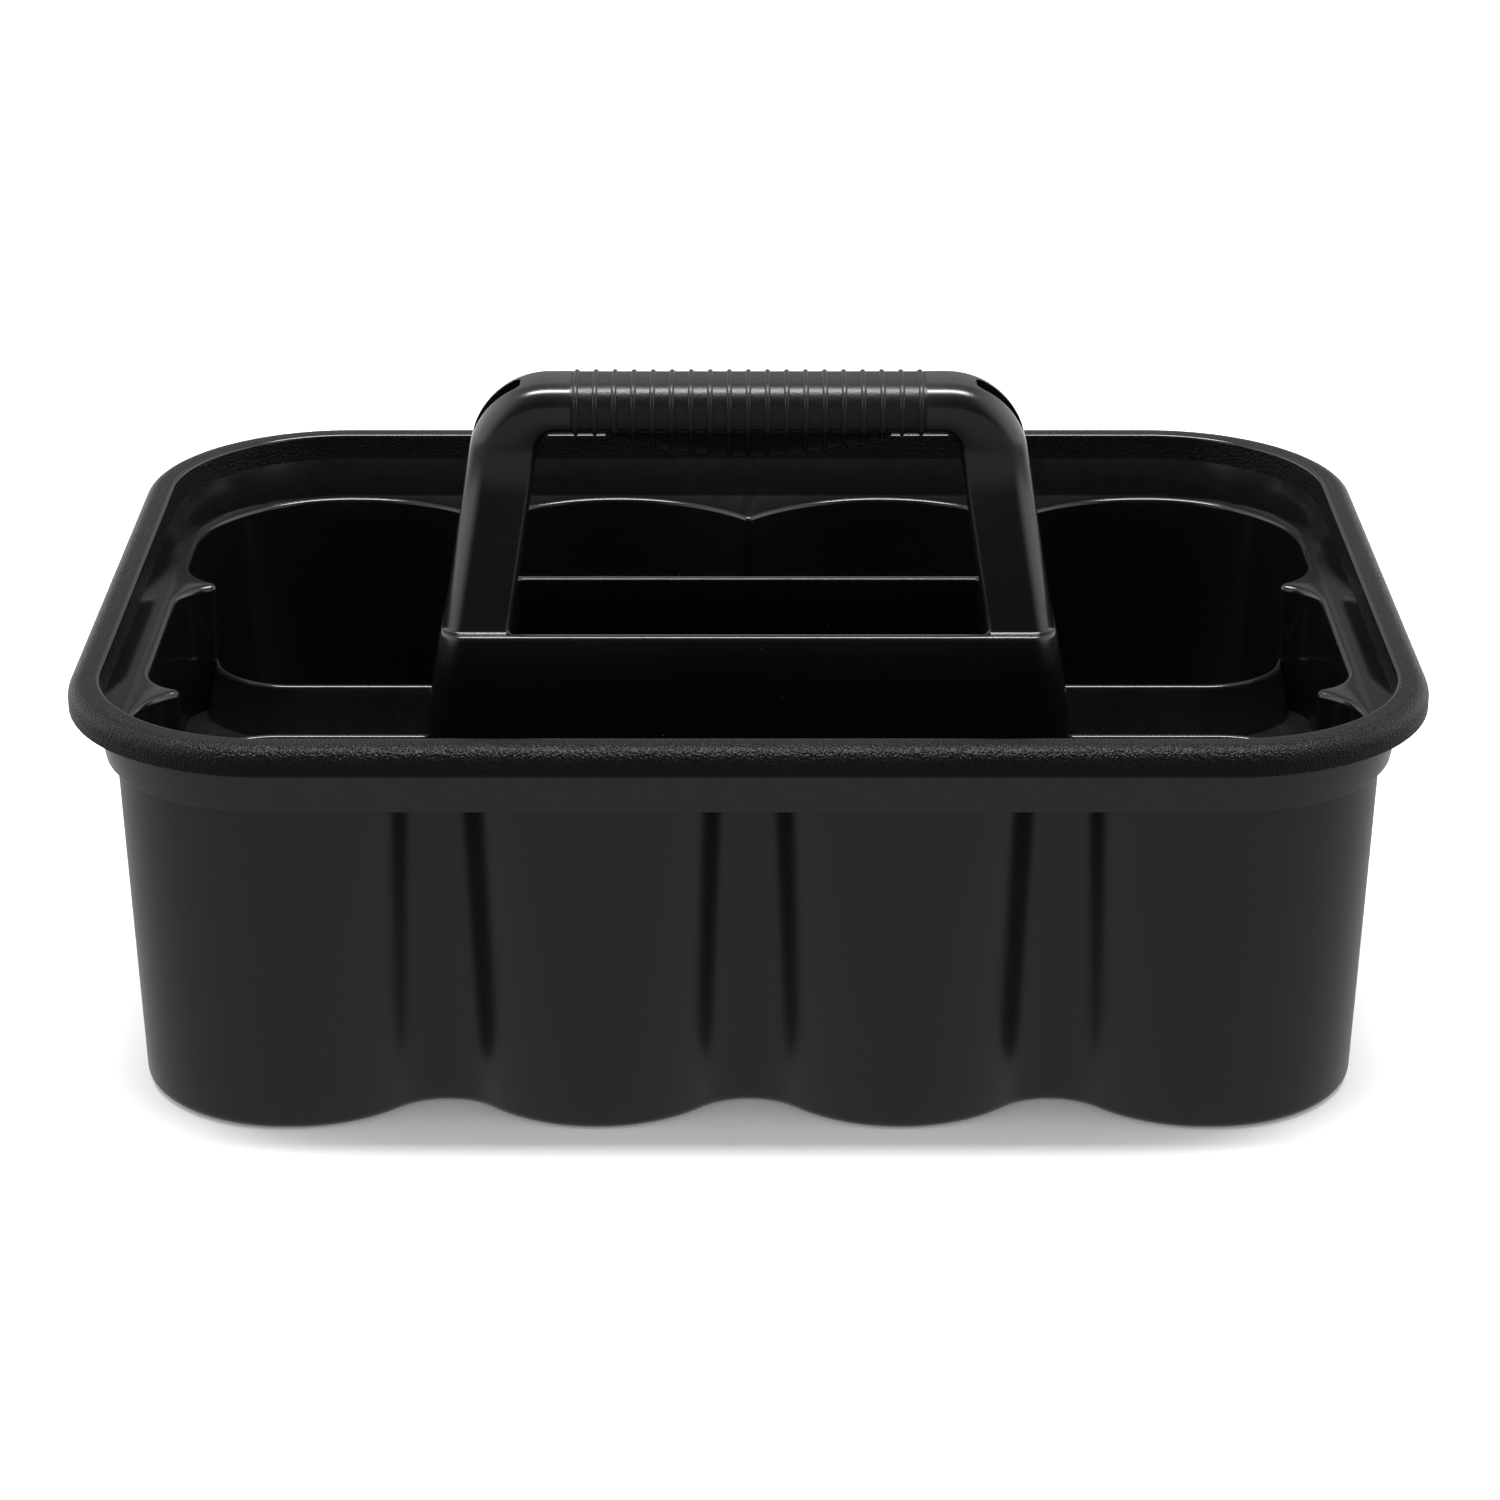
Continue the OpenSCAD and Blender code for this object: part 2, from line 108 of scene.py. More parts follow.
def round_off(corners: Sequence[tuple[float, float, float]], steps: int = 5) -> Ring:
    """Rounds the corners of a closed outline.

    Args:
        corners: Each corner as (u, v, radius); radius 0 stays sharp.
        steps: Steps of each rounded corner.

    Returns:
        The outline's points, steps + 1 for each rounded corner and one for each sharp one.
    """
    points: list[np.ndarray] = []
    count = len(corners)
    for i, (u, v, radius) in enumerate(corners):
        here = np.array([u, v])
        if radius <= 0:
            points.append(here)
            continue
        before = np.array(corners[i - 1][:2]) - here
        after = np.array(corners[(i + 1) % count][:2]) - here
        before /= np.linalg.norm(before)
        after /= np.linalg.norm(after)
        half = math.acos(float(np.clip(before @ after, -1, 1))) / 2
        reach = radius / math.tan(half)
        middle = here + (before + after) / np.linalg.norm(before + after) * radius / math.sin(half)
        start = here + before * reach - middle
        end = here + after * reach - middle
        turn = math.atan2(start[0] * end[1] - start[1] * end[0], start @ end)
        for k in range(steps + 1):
            a = turn * k / steps
            c, s = math.cos(a), math.sin(a)
            points.append(middle + (start[0] * c - start[1] * s, start[0] * s + start[1] * c))
    return np.array(points)


def at_height(ring: Ring, z: float) -> Ring:
    """Lifts a plan outline to a height.

    Args:
        ring: Points in plan.
        z: The height in millimetres.

    Returns:
        The points in space.
    """
    return np.c_[ring, np.full(len(ring), z)]


def pushed(ring: Ring, by: float | np.ndarray) -> Ring:
    """Moves a closed outline along its own normals.

    Args:
        ring: A counter-clockwise outline in plan.
        by: The distance outward, or inward where it is negative.

    Returns:
        The moved outline.
    """
    along = np.roll(ring, -1, 0) - np.roll(ring, 1, 0)
    along /= np.maximum(np.linalg.norm(along, axis=1, keepdims=True), 1e-9)
    return ring + np.c_[along[:, 1], -along[:, 0]] * by


class Solid:
    """A mesh under construction, in millimetres."""

    def __init__(self) -> None:
        """Starts with no vertices and no faces."""
        self.points: list[tuple[float, float, float]] = []
        self.faces: list[list[int]] = []

    def loft(self, rings: Sequence[Ring], closed: bool = False) -> None:
        """Adds a closed shell through rings that have the same number of points.

        Args:
            rings: The rings, counter-clockwise seen from where the shell goes to.
            closed: Whether the last ring joins the first, in place of two end caps.
        """
        base = len(self.points)
        count, n = len(rings), len(rings[0])
        for ring in rings:
            self.points.extend(map(tuple, ring))
        for k in range(count if closed else count - 1):
            a, b = base + k * n, base + ((k + 1) % count) * n
            for i in range(n):
                j = (i + 1) % n
                self.faces.append([a + i, a + j, b + j, b + i])
        if not closed:
            self.faces.append([base + i for i in range(n)][::-1])
            self.faces.append([base + (count - 1) * n + i for i in range(n)])

    def piece(self, name: str, crease: float = CREASE) -> bpy.types.Object:
        """Makes the Blender object.

        Args:
            name: The object's name.
            crease: Edges that turn by more than this many degrees stay sharp.

        Returns:
            The new object, in metres, at the origin.
        """
        mesh = bpy.data.meshes.new(name)
        mesh.from_pydata([tuple(c * MM for c in p) for p in self.points], [], self.faces)
        work = bmesh.new()
        work.from_mesh(mesh)
        bmesh.ops.remove_doubles(work, verts=work.verts, dist=1e-6)
        bmesh.ops.dissolve_degenerate(work, edges=work.edges, dist=1e-7)
        bmesh.ops.recalc_face_normals(work, faces=work.faces)
        work.to_mesh(mesh)
        work.free()
        made = bpy.data.objects.new(name, mesh)
        bpy.context.scene.collection.objects.link(made)
        smooth(made, crease)
        return made


def smooth(piece: bpy.types.Object, crease: float) -> None:
    """Shades a piece smooth, but for its sharp edges.

    Args:
        piece: The piece.
        crease: The least turn of a sharp edge, in degrees.
    """
    mesh = piece.data
    mesh.polygons.foreach_set("use_smooth", [True] * len(mesh.polygons))
    mesh.set_sharp_from_angle(angle=math.radians(crease))
    mesh.update()


def carve(piece: bpy.types.Object, cutters: Sequence[bpy.types.Object]) -> None:
    """Cuts other solids out of a piece and throws them away.

    Args:
        piece: The piece that is cut.
        cutters: The solids to take out of it.
    """
    for cutter in cutters:
        cut = piece.modifiers.new("cut", "BOOLEAN")
        cut.operation = "DIFFERENCE"
        cut.solver = "EXACT"
        cut.object = cutter
    bpy.context.view_layer.update()
    done = bpy.data.meshes.new_from_object(piece.evaluated_get(bpy.context.evaluated_depsgraph_get()))
    piece.modifiers.clear()
    old = piece.data
    piece.data = done
    done.name = old.name
    bpy.data.meshes.remove(old)
    for cutter in cutters:
        spare = cutter.data
        bpy.data.objects.remove(cutter)
        bpy.data.meshes.remove(spare)
    smooth(piece, CREASE)


# ---------------------------------------------------------------- node groups

Tree = bpy.types.NodeTree
Socket = bpy.types.NodeSocket


class Wiring:
    """A node tree being filled: short ways to add the nodes this file needs."""

    def __init__(self, tree: Tree) -> None:
        """Keeps the tree.

        Args:
            tree: The material's or the group's node tree.
        """
        self.tree = tree

    def node(
        self, kind: str, sockets: Optional[dict[str | int, object]] = None, **settings: object
    ) -> bpy.types.Node:
        """Adds a node.

        Args:
            kind: The node's type.
            sockets: What goes into its inputs.
            settings: Values for its properties.

        Returns:
            The new node.
        """
        made = self.tree.nodes.new(kind)
        for key, value in settings.items():
            setattr(made, key, value)
        for key, value in (sockets or {}).items():
            self.feed(made.inputs[key], value)
        return made

    def feed(self, target: Socket, value: object) -> None:
        """Sets a socket's value, or links a socket to it.

        Args:
            target: The input.
            value: A number, a colour or an output socket.
        """
        if isinstance(value, bpy.types.NodeSocket):
            self.tree.links.new(value, target)
        else:
            target.default_value = value

    def math(self, how: str, a: object, b: object = 0.0) -> Socket:
        """Adds a Math node that isn't clamped.

        Args:
            how: The operation.
            a: The first operand.
            b: The second operand.

        Returns:
            The result.
        """
        return self.node("ShaderNodeMath", {0: a, 1: b}, operation=how).outputs[0]

    def product(self, a: object, b: object) -> Socket:
        """Multiplies two values.

        Args:
            a: The first value.
            b: The second value.

        Returns:
            The product.
        """
        return self.math("MULTIPLY", a, b)

    def spread(self, value: object, low: float, high: float, to_low: object, to_high: object) -> Socket:
        """Maps a value from one range to another, clamped.

        Args:
            value: The value to map.
            low: Where the first range starts.
            high: Where the first range ends.
            to_low: Where the second range starts.
            to_high: Where the second range ends.

        Returns:
            The mapped value.
        """
        given = dict(enumerate((value, low, high, to_low, to_high)))
        return self.node("ShaderNodeMapRange", given).outputs[0]

    def mix(self, share: object, first: object, second: object) -> Socket:
        """Mixes two colours.

        Args:
            share: The second colour's share.
            first: The first colour.
            second: The second colour.

        Returns:
            The mixed colour.
        """
        return self.node("ShaderNodeMix", {0: share, 6: first, 7: second}, data_type="RGBA").outputs[2]

    def noise(self, where: Socket, scale: object, detail: float = 2.0) -> Socket:
        """Adds a noise texture.

        Args:
            where: The coordinates.
            scale: The scale, in cycles a metre.
            detail: The number of octaves.

        Returns:
            The noise's value.
        """
        given = {"Vector": where, "Scale": scale, "Detail": detail}
        return self.node("ShaderNodeTexNoise", given).outputs["Fac"]

    def stretched(
        self, where: Socket, scale: tuple[float, float, float], turn: float = 0.0, seed: float = 0.0
    ) -> Socket:
        """Stretches coordinates, turns them about all three axes and moves them.

        Args:
            where: The coordinates.
            scale: The stretch along each axis.
            turn: The turn about each axis, in degrees.
            seed: How far to move them.

        Returns:
            The new coordinates.
        """
        given = {
            "Vector": where,
            "Location": (seed, seed * 2, seed * 3),
            "Rotation": (math.radians(turn),) * 3,
            "Scale": scale,
        }
        return self.node("ShaderNodeMapping", given).outputs["Vector"]

    def by_ray(self, felt: Socket, seen: Socket) -> Socket:
        """Shows one shader to the camera and another to every other ray.

        Args:
            felt: The shader that reflections and light meet.
            seen: The shader that the camera sees.

        Returns:
            The mixed shader.
        """
        camera_ray = self.node("ShaderNodeLightPath").outputs["Is Camera Ray"]
        return self.node("ShaderNodeMixShader", {0: camera_ray, 1: felt, 2: seen}).outputs[0]


def new_group(
    name: str, takes: Sequence[tuple[str, float]], gives: Sequence[str]
) -> tuple[bpy.types.ShaderNodeTree, Wiring, bpy.types.Node, bpy.types.Node]:
    """Starts a shader node group with number inputs and outputs.

    Args:
        name: The group's name.
        takes: Each input's name and its usual value.
        gives: Each output's name.

    Returns:
        The group, its wiring, and its input and output nodes.
    """
    group = bpy.data.node_groups.new(name, "ShaderNodeTree")
    for label, usual in takes:
        socket = group.interface.new_socket(name=label, in_out="INPUT", socket_type="NodeSocketFloat")
        socket.default_value = usual
    for label in gives:
        group.interface.new_socket(name=label, in_out="OUTPUT", socket_type="NodeSocketFloat")
    wiring = Wiring(group)
    return group, wiring, wiring.node("NodeGroupInput"), wiring.node("NodeGroupOutput")


def object_place(w: Wiring) -> Socket:
    """The place on the object, in metres, from a Texture Coordinate node.

    Args:
        w: The wiring to add it to.

    Returns:
        The coordinates.
    """
    return w.node("ShaderNodeTexCoord").outputs["Object"]


class Effects:
    """The surface effects that several finishes share, each built once."""

    def __init__(self) -> None:
        """Builds the groups."""
        self.pebble = self.make_pebble()
        self.flow = self.make_flow()
        self.scratches = self.make_scratches()
        self.dust = self.make_dust()
        # Paler convex edges: partly wear, partly a painted highlight.
        self.edge_wear_and_highlight = self.make_edge_wear_and_highlight()

    @staticmethod
    def make_pebble() -> bpy.types.ShaderNodeTree:
        """The fine leathery pebble of a textured mould.

        Returns:
            The group, which gives Height and Crown, the share of each pebble's top.
        """
        group, w, inlet, outlet = new_group(
            "pebble_grain", [("Size", 1400.0), ("Height", 0.5)], ["Height", "Crown"]
        )
        place = object_place(w)
        size = inlet.outputs["Size"]
        given = {"Vector": place, "Scale": size, "Smoothness": 0.6}
        cells = w.node("ShaderNodeTexVoronoi", given, feature="SMOOTH_F1")
        crown = w.spread(cells.outputs["Distance"], 0.15, 0.65, 1.0, 0.0)
        fine = w.noise(place, w.product(size, 1.9), 3.0)
        mixed = w.math("ADD", w.product(crown, 0.7), w.product(fine, 0.5))
        w.feed(outlet.inputs["Height"], w.product(mixed, inlet.outputs["Height"]))
        w.feed(outlet.inputs["Crown"], crown)
        return group

    @staticmethod
    def make_flow() -> bpy.types.ShaderNodeTree:
        """Soft patches and faint upright flow marks of moulded plastic.

        Returns:
            The group, which gives Cloud, Streak and Height.
        """
        group, w, inlet, outlet = new_group(
            "mould_flow", [("Patch", 14.0), ("Streaks", 90.0)], ["Cloud", "Streak", "Height"]
        )
        place = object_place(w)
        cloud = w.spread(w.noise(place, inlet.outputs["Patch"], 3.0), 0.3, 0.7, 0.0, 1.0)
        drawn = w.stretched(place, (1.0, 1.0, 0.12))
        streak = w.spread(w.noise(drawn, inlet.outputs["Streaks"]), 0.35, 0.7, 0.0, 1.0)
        ripple = w.noise(place, w.product(inlet.outputs["Patch"], 2.3), 1.0)
        w.feed(outlet.inputs["Cloud"], cloud)
        w.feed(outlet.inputs["Streak"], streak)
        w.feed(outlet.inputs["Height"], w.math("ADD", w.product(ripple, 0.8), w.product(streak, 0.05)))
        return group

    @staticmethod
    def make_scratches() -> bpy.types.ShaderNodeTree:
        """Sparse hair-fine scuffs in three directions.

        Returns:
            The group, which gives Mask.
        """
        group, w, inlet, outlet = new_group("fine_scratches", [("Amount", 0.5)], ["Mask"])
        place = object_place(w)
        total: Optional[Socket] = None
        for turn, length, seed in ((17.0, 9.0, 0.0), (-38.0, 13.0, 3.1), (71.0, 7.0, 7.7)):
            given = {"Vector": w.stretched(place, (length, 220.0, 220.0), turn, seed), "Scale": 1.0}
            lines = w.node("ShaderNodeTexVoronoi", given, feature="DISTANCE_TO_EDGE")
            thin = w.spread(lines.outputs["Distance"], 0.0, 0.012, 1.0, 0.0)
            patch = w.spread(w.noise(place, 26.0 + seed), 0.56, 0.68, 0.0, 1.0)
            one = w.product(thin, patch)
            total = one if total is None else w.math("MAXIMUM", total, one)
        w.feed(outlet.inputs["Mask"], w.product(total, inlet.outputs["Amount"]))
        return group

    @staticmethod
    def make_dust() -> bpy.types.ShaderNodeTree:
        """Tiny specks and lint, more of them where the surface faces up.

        Returns:
            The group, which gives Mask.
        """
        group, w, inlet, outlet = new_group("dust_specks", [("Amount", 0.5), ("Spacing", 160.0)], ["Mask"])
        place = object_place(w)
        given = {"Vector": place, "Scale": inlet.outputs["Spacing"]}
        specks = w.node("ShaderNodeTexVoronoi", given, feature="F1")
        dot = w.spread(specks.outputs["Distance"], 0.02, 0.045, 1.0, 0.0)
        chosen = w.spread(w.noise(place, 70.0), 0.57, 0.62, 0.0, 1.0)
        facing = w.node("ShaderNodeSeparateXYZ", {0: w.node("ShaderNodeNewGeometry").outputs["Normal"]})
        up = w.spread(facing.outputs[2], -0.2, 0.9, 0.25, 1.0)
        mask = w.product(w.product(dot, chosen), up)
        w.feed(outlet.inputs["Mask"], w.product(mask, inlet.outputs["Amount"]))
        return group

    @staticmethod
    def make_edge_wear_and_highlight() -> bpy.types.ShaderNodeTree:
        """Where rounded edges are painted paler, as wear and as a painted highlight along them.

        Returns:
            The group, which gives Mask.
        """
        group, w, inlet, outlet = new_group("edge_wear_and_highlight", [("Amount", 0.5)], ["Mask"])
        # Convex edges, found by pointiness, are painted paler: partly wear, partly a painted highlight along
        # the edge.
        bend = w.node("ShaderNodeNewGeometry").outputs["Pointiness"]
        edge = w.spread(bend, 0.51, 0.60, 0.0, 1.0)
        broken = w.spread(w.noise(object_place(w), 240.0, 3.0), 0.25, 0.6, 0.45, 1.0)
        w.feed(outlet.inputs["Mask"], w.product(w.product(edge, broken), inlet.outputs["Amount"]))
        return group


@dataclass(frozen=True)
class PlasticFinish:
    """A moulded black plastic, from polished to pebbled."""

    name: str
    shade: tuple[float, float, float] = (0.0032, 0.0032, 0.0034)
    pale: tuple[float, float, float] = (0.02, 0.02, 0.0205)
    mottle: float = 1.18
    smooth_rough: float = 0.2
    dull_rough: float = 0.3
    specular: float = 0.5
    pebble: float = 0.0
    pebble_size: float = 1500.0
    ripple: float = 0.02
    scratch: float = 0.4
    dust: float = 0.5
    # Share of the paler convex edges, which stand for wear and a painted highlight.
    edge: float = 0.4

    def dress(self, effects: Effects) -> bpy.types.Material:
        """Makes the material.

        Args:
            effects: The shared groups.

        Returns:
            The material.
        """
        material = bpy.data.materials.new(self.name)
        material.use_nodes = True
        tree = material.node_tree
        tree.nodes.clear()
        w = Wiring(tree)
        flow = w.node("ShaderNodeGroup", node_tree=effects.flow)
        scratch, dust, wear_and_highlight = (
            w.node("ShaderNodeGroup", node_tree=group).outputs[0]
            for group in (effects.scratches, effects.dust, effects.edge_wear_and_highlight)
        )
        for mask, amount in ((scratch, self.scratch), (dust, self.dust), (wear_and_highlight, self.edge)):
            mask.node.inputs["Amount"].default_value = amount

        bright = (*(c * self.mottle for c in self.shade), 1.0)
        deep = w.mix(flow.outputs["Cloud"], (*self.shade, 1.0), bright)
        # Scratches and convex edges turn pale: the scratches are wear; the paler edges are partly wear and
        # partly a painted highlight.
        wear_and_highlit_colour = w.mix(w.math("MAXIMUM", wear_and_highlight, w.product(scratch, 0.5)), deep, (*self.pale, 1.0))
        colour = w.mix(dust, wear_and_highlit_colour, DUST_GREY)

        patchy = w.math(
            "ADD", w.product(flow.outputs["Cloud"], 0.7), w.product(flow.outputs["Streak"], 0.3)
        )
        rough = w.spread(patchy, 0.0, 1.0, self.smooth_rough, self.dull_rough)
        rough = w.math("ADD", rough, w.product(scratch, 0.12))
        rough = w.math("ADD", rough, w.product(dust, 0.4))
        height = w.product(flow.outputs["Height"], self.ripple)
        if self.pebble > 0:
            given = {"Size": self.pebble_size, "Height": self.pebble}
            pebble = w.node("ShaderNodeGroup", given, node_tree=effects.pebble)
            height = w.math("ADD", height, pebble.outputs["Height"])
            rough = w.math("SUBTRACT", rough, w.product(pebble.outputs["Crown"], 0.06))
        bump = w.node("ShaderNodeBump", {"Strength": 1.0, "Distance": 0.0002, "Height": height})
        shader = w.node(
            "ShaderNodeBsdfPrincipled",
            {
                "Base Color": colour,
                "Roughness": rough,
                "Normal": bump.outputs[0],
                "Specular IOR Level": self.specular,
            },
        )
        w.node("ShaderNodeOutputMaterial", {"Surface": shader.outputs[0]})
        return material


BODY_FINISH = PlasticFinish(
    "satin_body", smooth_rough=0.24, dull_rough=0.3, ripple=0.03, edge=0.2, scratch=0.3
)
LINING_FINISH = PlasticFinish("glossy_lining", smooth_rough=0.13, dull_rough=0.2, ripple=0.08, dust=0.6)
RIM_FINISH = PlasticFinish(
    "pebbled_rim",
    smooth_rough=0.27,
    dull_rough=0.34,
    specular=0.13,
    pebble=1.1,
    ripple=0.0,
    dust=0.3,
    edge=0.3,
)
BIN_FINISH = PlasticFinish("glossy_bin", smooth_rough=0.15, dull_rough=0.22, ripple=0.08, dust=0.7)
HANDLE_FINISH = PlasticFinish("polished_handle", smooth_rough=0.17, dull_rough=0.25, ripple=0.06, dust=0.7)
GRIP_FINISH = PlasticFinish(
    "ribbed_grip",
    smooth_rough=0.34,
    dull_rough=0.42,
    specular=0.4,
    pebble=0.15,
    ripple=0.05,
    dust=0.8,
)


# ---------------------------------------------------------------- shared sizes


@dataclass
class Plan:
    """Sizes shared by the parts of the moulding, in millimetres, taken from the CAD boxes."""

    corner: float = 60.0
    ledge_inset: float = 11.2
    wall: float = 2.2
    floor_thick: float = 3.0
    draft_ends: float = 3.8
    draft_sides: float = 1.8
    bays: int = 4
    bin_end_slope: float = 0.165
    bin_side_slope: float = 0.035
    body_inset: tuple[float, float] = (12.6, 12.0)
    plate: float = 2.4
    end_ridge_y: float = 44.8

    def __post_init__(self) -> None:
        """Reads the boxes of the CAD nodes."""
        low, high = extent("rim")
        self.half_x = float(high[0])
        self.half_y = float(high[1])
        self.rim_top = float(high[2])
        self.rim_base = float(low[2])
        self.centre_x = self.half_x - self.corner
        self.centre_y = self.half_y - self.corner
        self.pitch = 2 * (self.centre_x - 2) / (self.bays - 1)
        self.ledge_z = float(extent("tub")[1][2])
        self.plate_z = self.ledge_z - self.plate
        self.collar_foot = float(extent("collar")[0][2])
        bin_low, bin_high = extent("centre_bin")
        self.bin_top = float(bin_high[2])
        drop = self.bin_top - float(bin_low[2])
        self.bin_half_length = float(bin_high[0]) - drop * self.bin_end_slope
        self.bin_half_depth = float(bin_high[1]) - drop * self.bin_side_slope
        self.body_x = self.half_x - self.body_inset[0]
        self.body_y = self.half_y - self.body_inset[1]

    def down(self, z: float) -> float:
        """How far down a height is.

        Args:
            z: The height.

        Returns:
            The share of the way from the ledge to the base.
        """
        return (self.plate_z - z) / self.plate_z

    def out_x(self, z: float) -> float:
        """The body's length at a height.

        Args:
            z: The height.

        Returns:
            The outside half length.
        """
        return self.body_x - self.draft_ends * self.down(z)

    def out_y(self, z: float) -> float:
        """The body's depth at a height.

        Args:
            z: The height.

        Returns:
            The outside half depth.
        """
        return self.body_y - self.draft_sides * self.down(z)

    def bin_x(self, z: float) -> float:
        """The bin's length at a height.

        Args:
            z: The height.

        Returns:
            The outside half length.
        """
        return self.bin_half_length + (self.bin_top - z) * self.bin_end_slope

    def bin_y(self, z: float) -> float:
        """The bin's depth at a height.

        Args:
            z: The height.

        Returns:
            The outside half depth.
        """
        return self.bin_half_depth + (self.bin_top - z) * self.bin_side_slope

    def around(self, radius: float, steps: int = 28, straight: int = 24) -> Ring:
        """The rounded oblong at a distance from the corner centres.

        Args:
            radius: The distance from the corner centres.
            steps: Steps of each corner.
            straight: Steps of each straight side.

        Returns:
            The outline, counter-clockwise.
        """
        points: list[np.ndarray] = []
        middles = np.array(((1, 1), (-1, 1), (-1, -1), (1, -1))) * (self.centre_x, self.centre_y)
        for k, middle in enumerate(middles):
            a = quarter_turn(steps) + k * math.pi / 2
            arc = middle + radius * np.c_[np.cos(a), np.sin(a)]
            points.extend(arc)
            after = middles[(k + 1) % 4] + radius * np.array([math.cos(a[-1]), math.sin(a[-1])])
            for i in range(1, straight):
                points.append(arc[-1] + (after - arc[-1]) * i / straight)
        return np.array(points)


@dataclass
class BodyWall:
    """The body's wall: bays between ridges inside, lobes between flutes outside."""

    plan: Plan
    flute_top: float = 13.5
    flute_base: float = 17.2
    flute_reach: float = 28.0
    ridge_depth: float = 18.8
    ridge_tip: float = 2.4
    end_ridge_depth: float = 10.6
    end_flute_depth: float = 6.5
    end_reach: tuple[float, float] = (16.2, 19.6)
    side_round: tuple[float, float] = (12.5, 18.0)
    end_round: tuple[float, float] = (5.0, 9.0)
    arc_steps: int = 14
    tip_steps: int = 6
    corner_steps: int = 22
    base_round: float = 3.0

    def half_valley(self, half: float, depth: float, radius: float) -> Ring:
        """Half a valley: an arc that leaves the wall and a round at its deepest point.

        Args:
            half: The half width.
            depth: The depth.
            radius: The tip's radius.

        Returns:
            Points as (along, depth) from the wall to the tip.
        """
        bow = (half * half + depth * depth) / (2 * depth) - radius
        angle = math.asin(half / (bow + radius))
        a = np.linspace(0.0, angle, self.arc_steps + 1)
        arm = np.c_[-half + bow * np.sin(a), bow - bow * np.cos(a)]
        b = np.linspace(angle, 0.0, self.tip_steps + 1)[1:]
        tip = np.c_[-radius * np.sin(b), depth - radius + radius * np.cos(b)]
        return np.r_[arm, tip]

    def valley(self, near: float, far: float, depth: float, radius: float) -> Ring:
        """A whole valley.

        Args:
            near: The half width on the first side.
            far: The half width on the second side.
            depth: The depth.
            radius: The tip's radius.

        Returns:
            Points as (along, depth).
        """
        back = self.half_valley(far, depth, radius)[:-1][::-1]
        return np.r_[self.half_valley(near, depth, radius), np.c_[-back[:, 0], back[:, 1]]]

    def ring(
        self,
        a: float,
        b: float,
        end: tuple[float, float],
        side: tuple[float, float],
        radius: float,
        reach: float,
    ) -> Ring:
        """The whole outline from its half sizes.

        Args:
            a: The half length.
            b: The half depth.
            end: Depth and tip radius of the end ridges.
            side: Depth and tip radius of the ridges between bays.
            radius: The corners' radius.
            reach: The half width of a ridge or flute on the long sides.

        Returns:
            The closed outline, counter-clockwise.
        """
        p = self.plan
        cx = a - radius
        ends = self.valley(self.end_reach[0], self.end_reach[1], *end)
        sides = self.valley(min(cx - p.pitch, reach), reach, *side)[1:-1]
        middle = self.half_valley(reach, *side)
        t = quarter_turn(self.corner_steps)
        quarter = np.r_[
            [[a, 0.0]],
            np.c_[a - ends[:, 1], p.end_ridge_y + ends[:, 0]],
            np.c_[cx + radius * np.cos(t), b - radius + radius * np.sin(t)],
            np.c_[p.pitch - sides[:, 0], b - sides[:, 1]],
            np.c_[-middle[:, 0], b - middle[:, 1]],
        ]
        return np.r_[
            quarter,
            quarter[-2::-1] * (-1, 1),
            quarter[1:] * (-1, -1),
            quarter[-2:0:-1] * (1, -1),
        ]

    def run(self, ends: tuple[float, float], z: float) -> float:
        """A value that runs from its size at the ledge to its size at the base.

        Args:
            ends: Both sizes.
            z: The height.

        Returns:
            The size at the height.
        """
        return ends[0] + (ends[1] - ends[0]) * self.plan.down(z)

    def at(self, z: float, side: Wall) -> Ring:
        """The wall's outline at a height.

        Args:
            z: The height.
            side: Which side of the wall.

        Returns:
            The outline.
        """
        p = self.plan
        if side is Wall.OUTSIDE:
            return self.ring(
                p.out_x(z),
                p.out_y(z),
                (self.end_flute_depth, self.run(self.end_round, z)),
                (self.run((self.flute_top, self.flute_base), z), self.run(self.side_round, z)),
                p.out_x(z) - p.centre_x,
                self.run((self.flute_reach, p.pitch / 2), z),
            )
        return self.ring(
            p.out_x(z) - p.wall,
            p.out_y(z) - p.wall,
            (
                self.run((self.end_ridge_depth, self.end_flute_depth), z),
                self.run((self.ridge_tip, self.end_round[1] + p.wall), z),
            ),
            (
                self.run((self.ridge_depth, self.flute_base), z),
                self.run((self.ridge_tip, self.side_round[1] + p.wall), z),
            ),
            p.out_x(z) - p.wall - p.centre_x,
            p.pitch / 2,
        )

    def plain(self, half_x: float, half_y: float) -> Ring:
        """An outline with as many points as the others, whose valleys are too slight to see.

        Args:
            half_x: The half length.
            half_y: The half depth.

        Returns:
            The outline.
        """
        slight = (0.02, 0.005)
        return self.ring(half_x, half_y, slight, slight, half_x - self.plan.centre_x, self.plan.pitch / 2)


# ---------------------------------------------------------------- sub-assemblies


def settle(piece: bpy.types.Object, slot: Slot, finish: bpy.types.Material, *nodes: str) -> None:
    """Puts a finished piece on its body in place of CAD nodes.

    Args:
        piece: The piece.
        slot: Its material slot in the record; not used.
        finish: Its material.
        nodes: The CAD nodes it stands for.
    """
    piece.data.materials.clear()
    piece.data.materials.append(finish)
    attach(piece, BODY)
    if nodes:
        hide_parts(*nodes)
    LOG.info("%s: %d faces, for %s", piece.name, len(piece.data.polygons), ", ".join(nodes) or "no node")


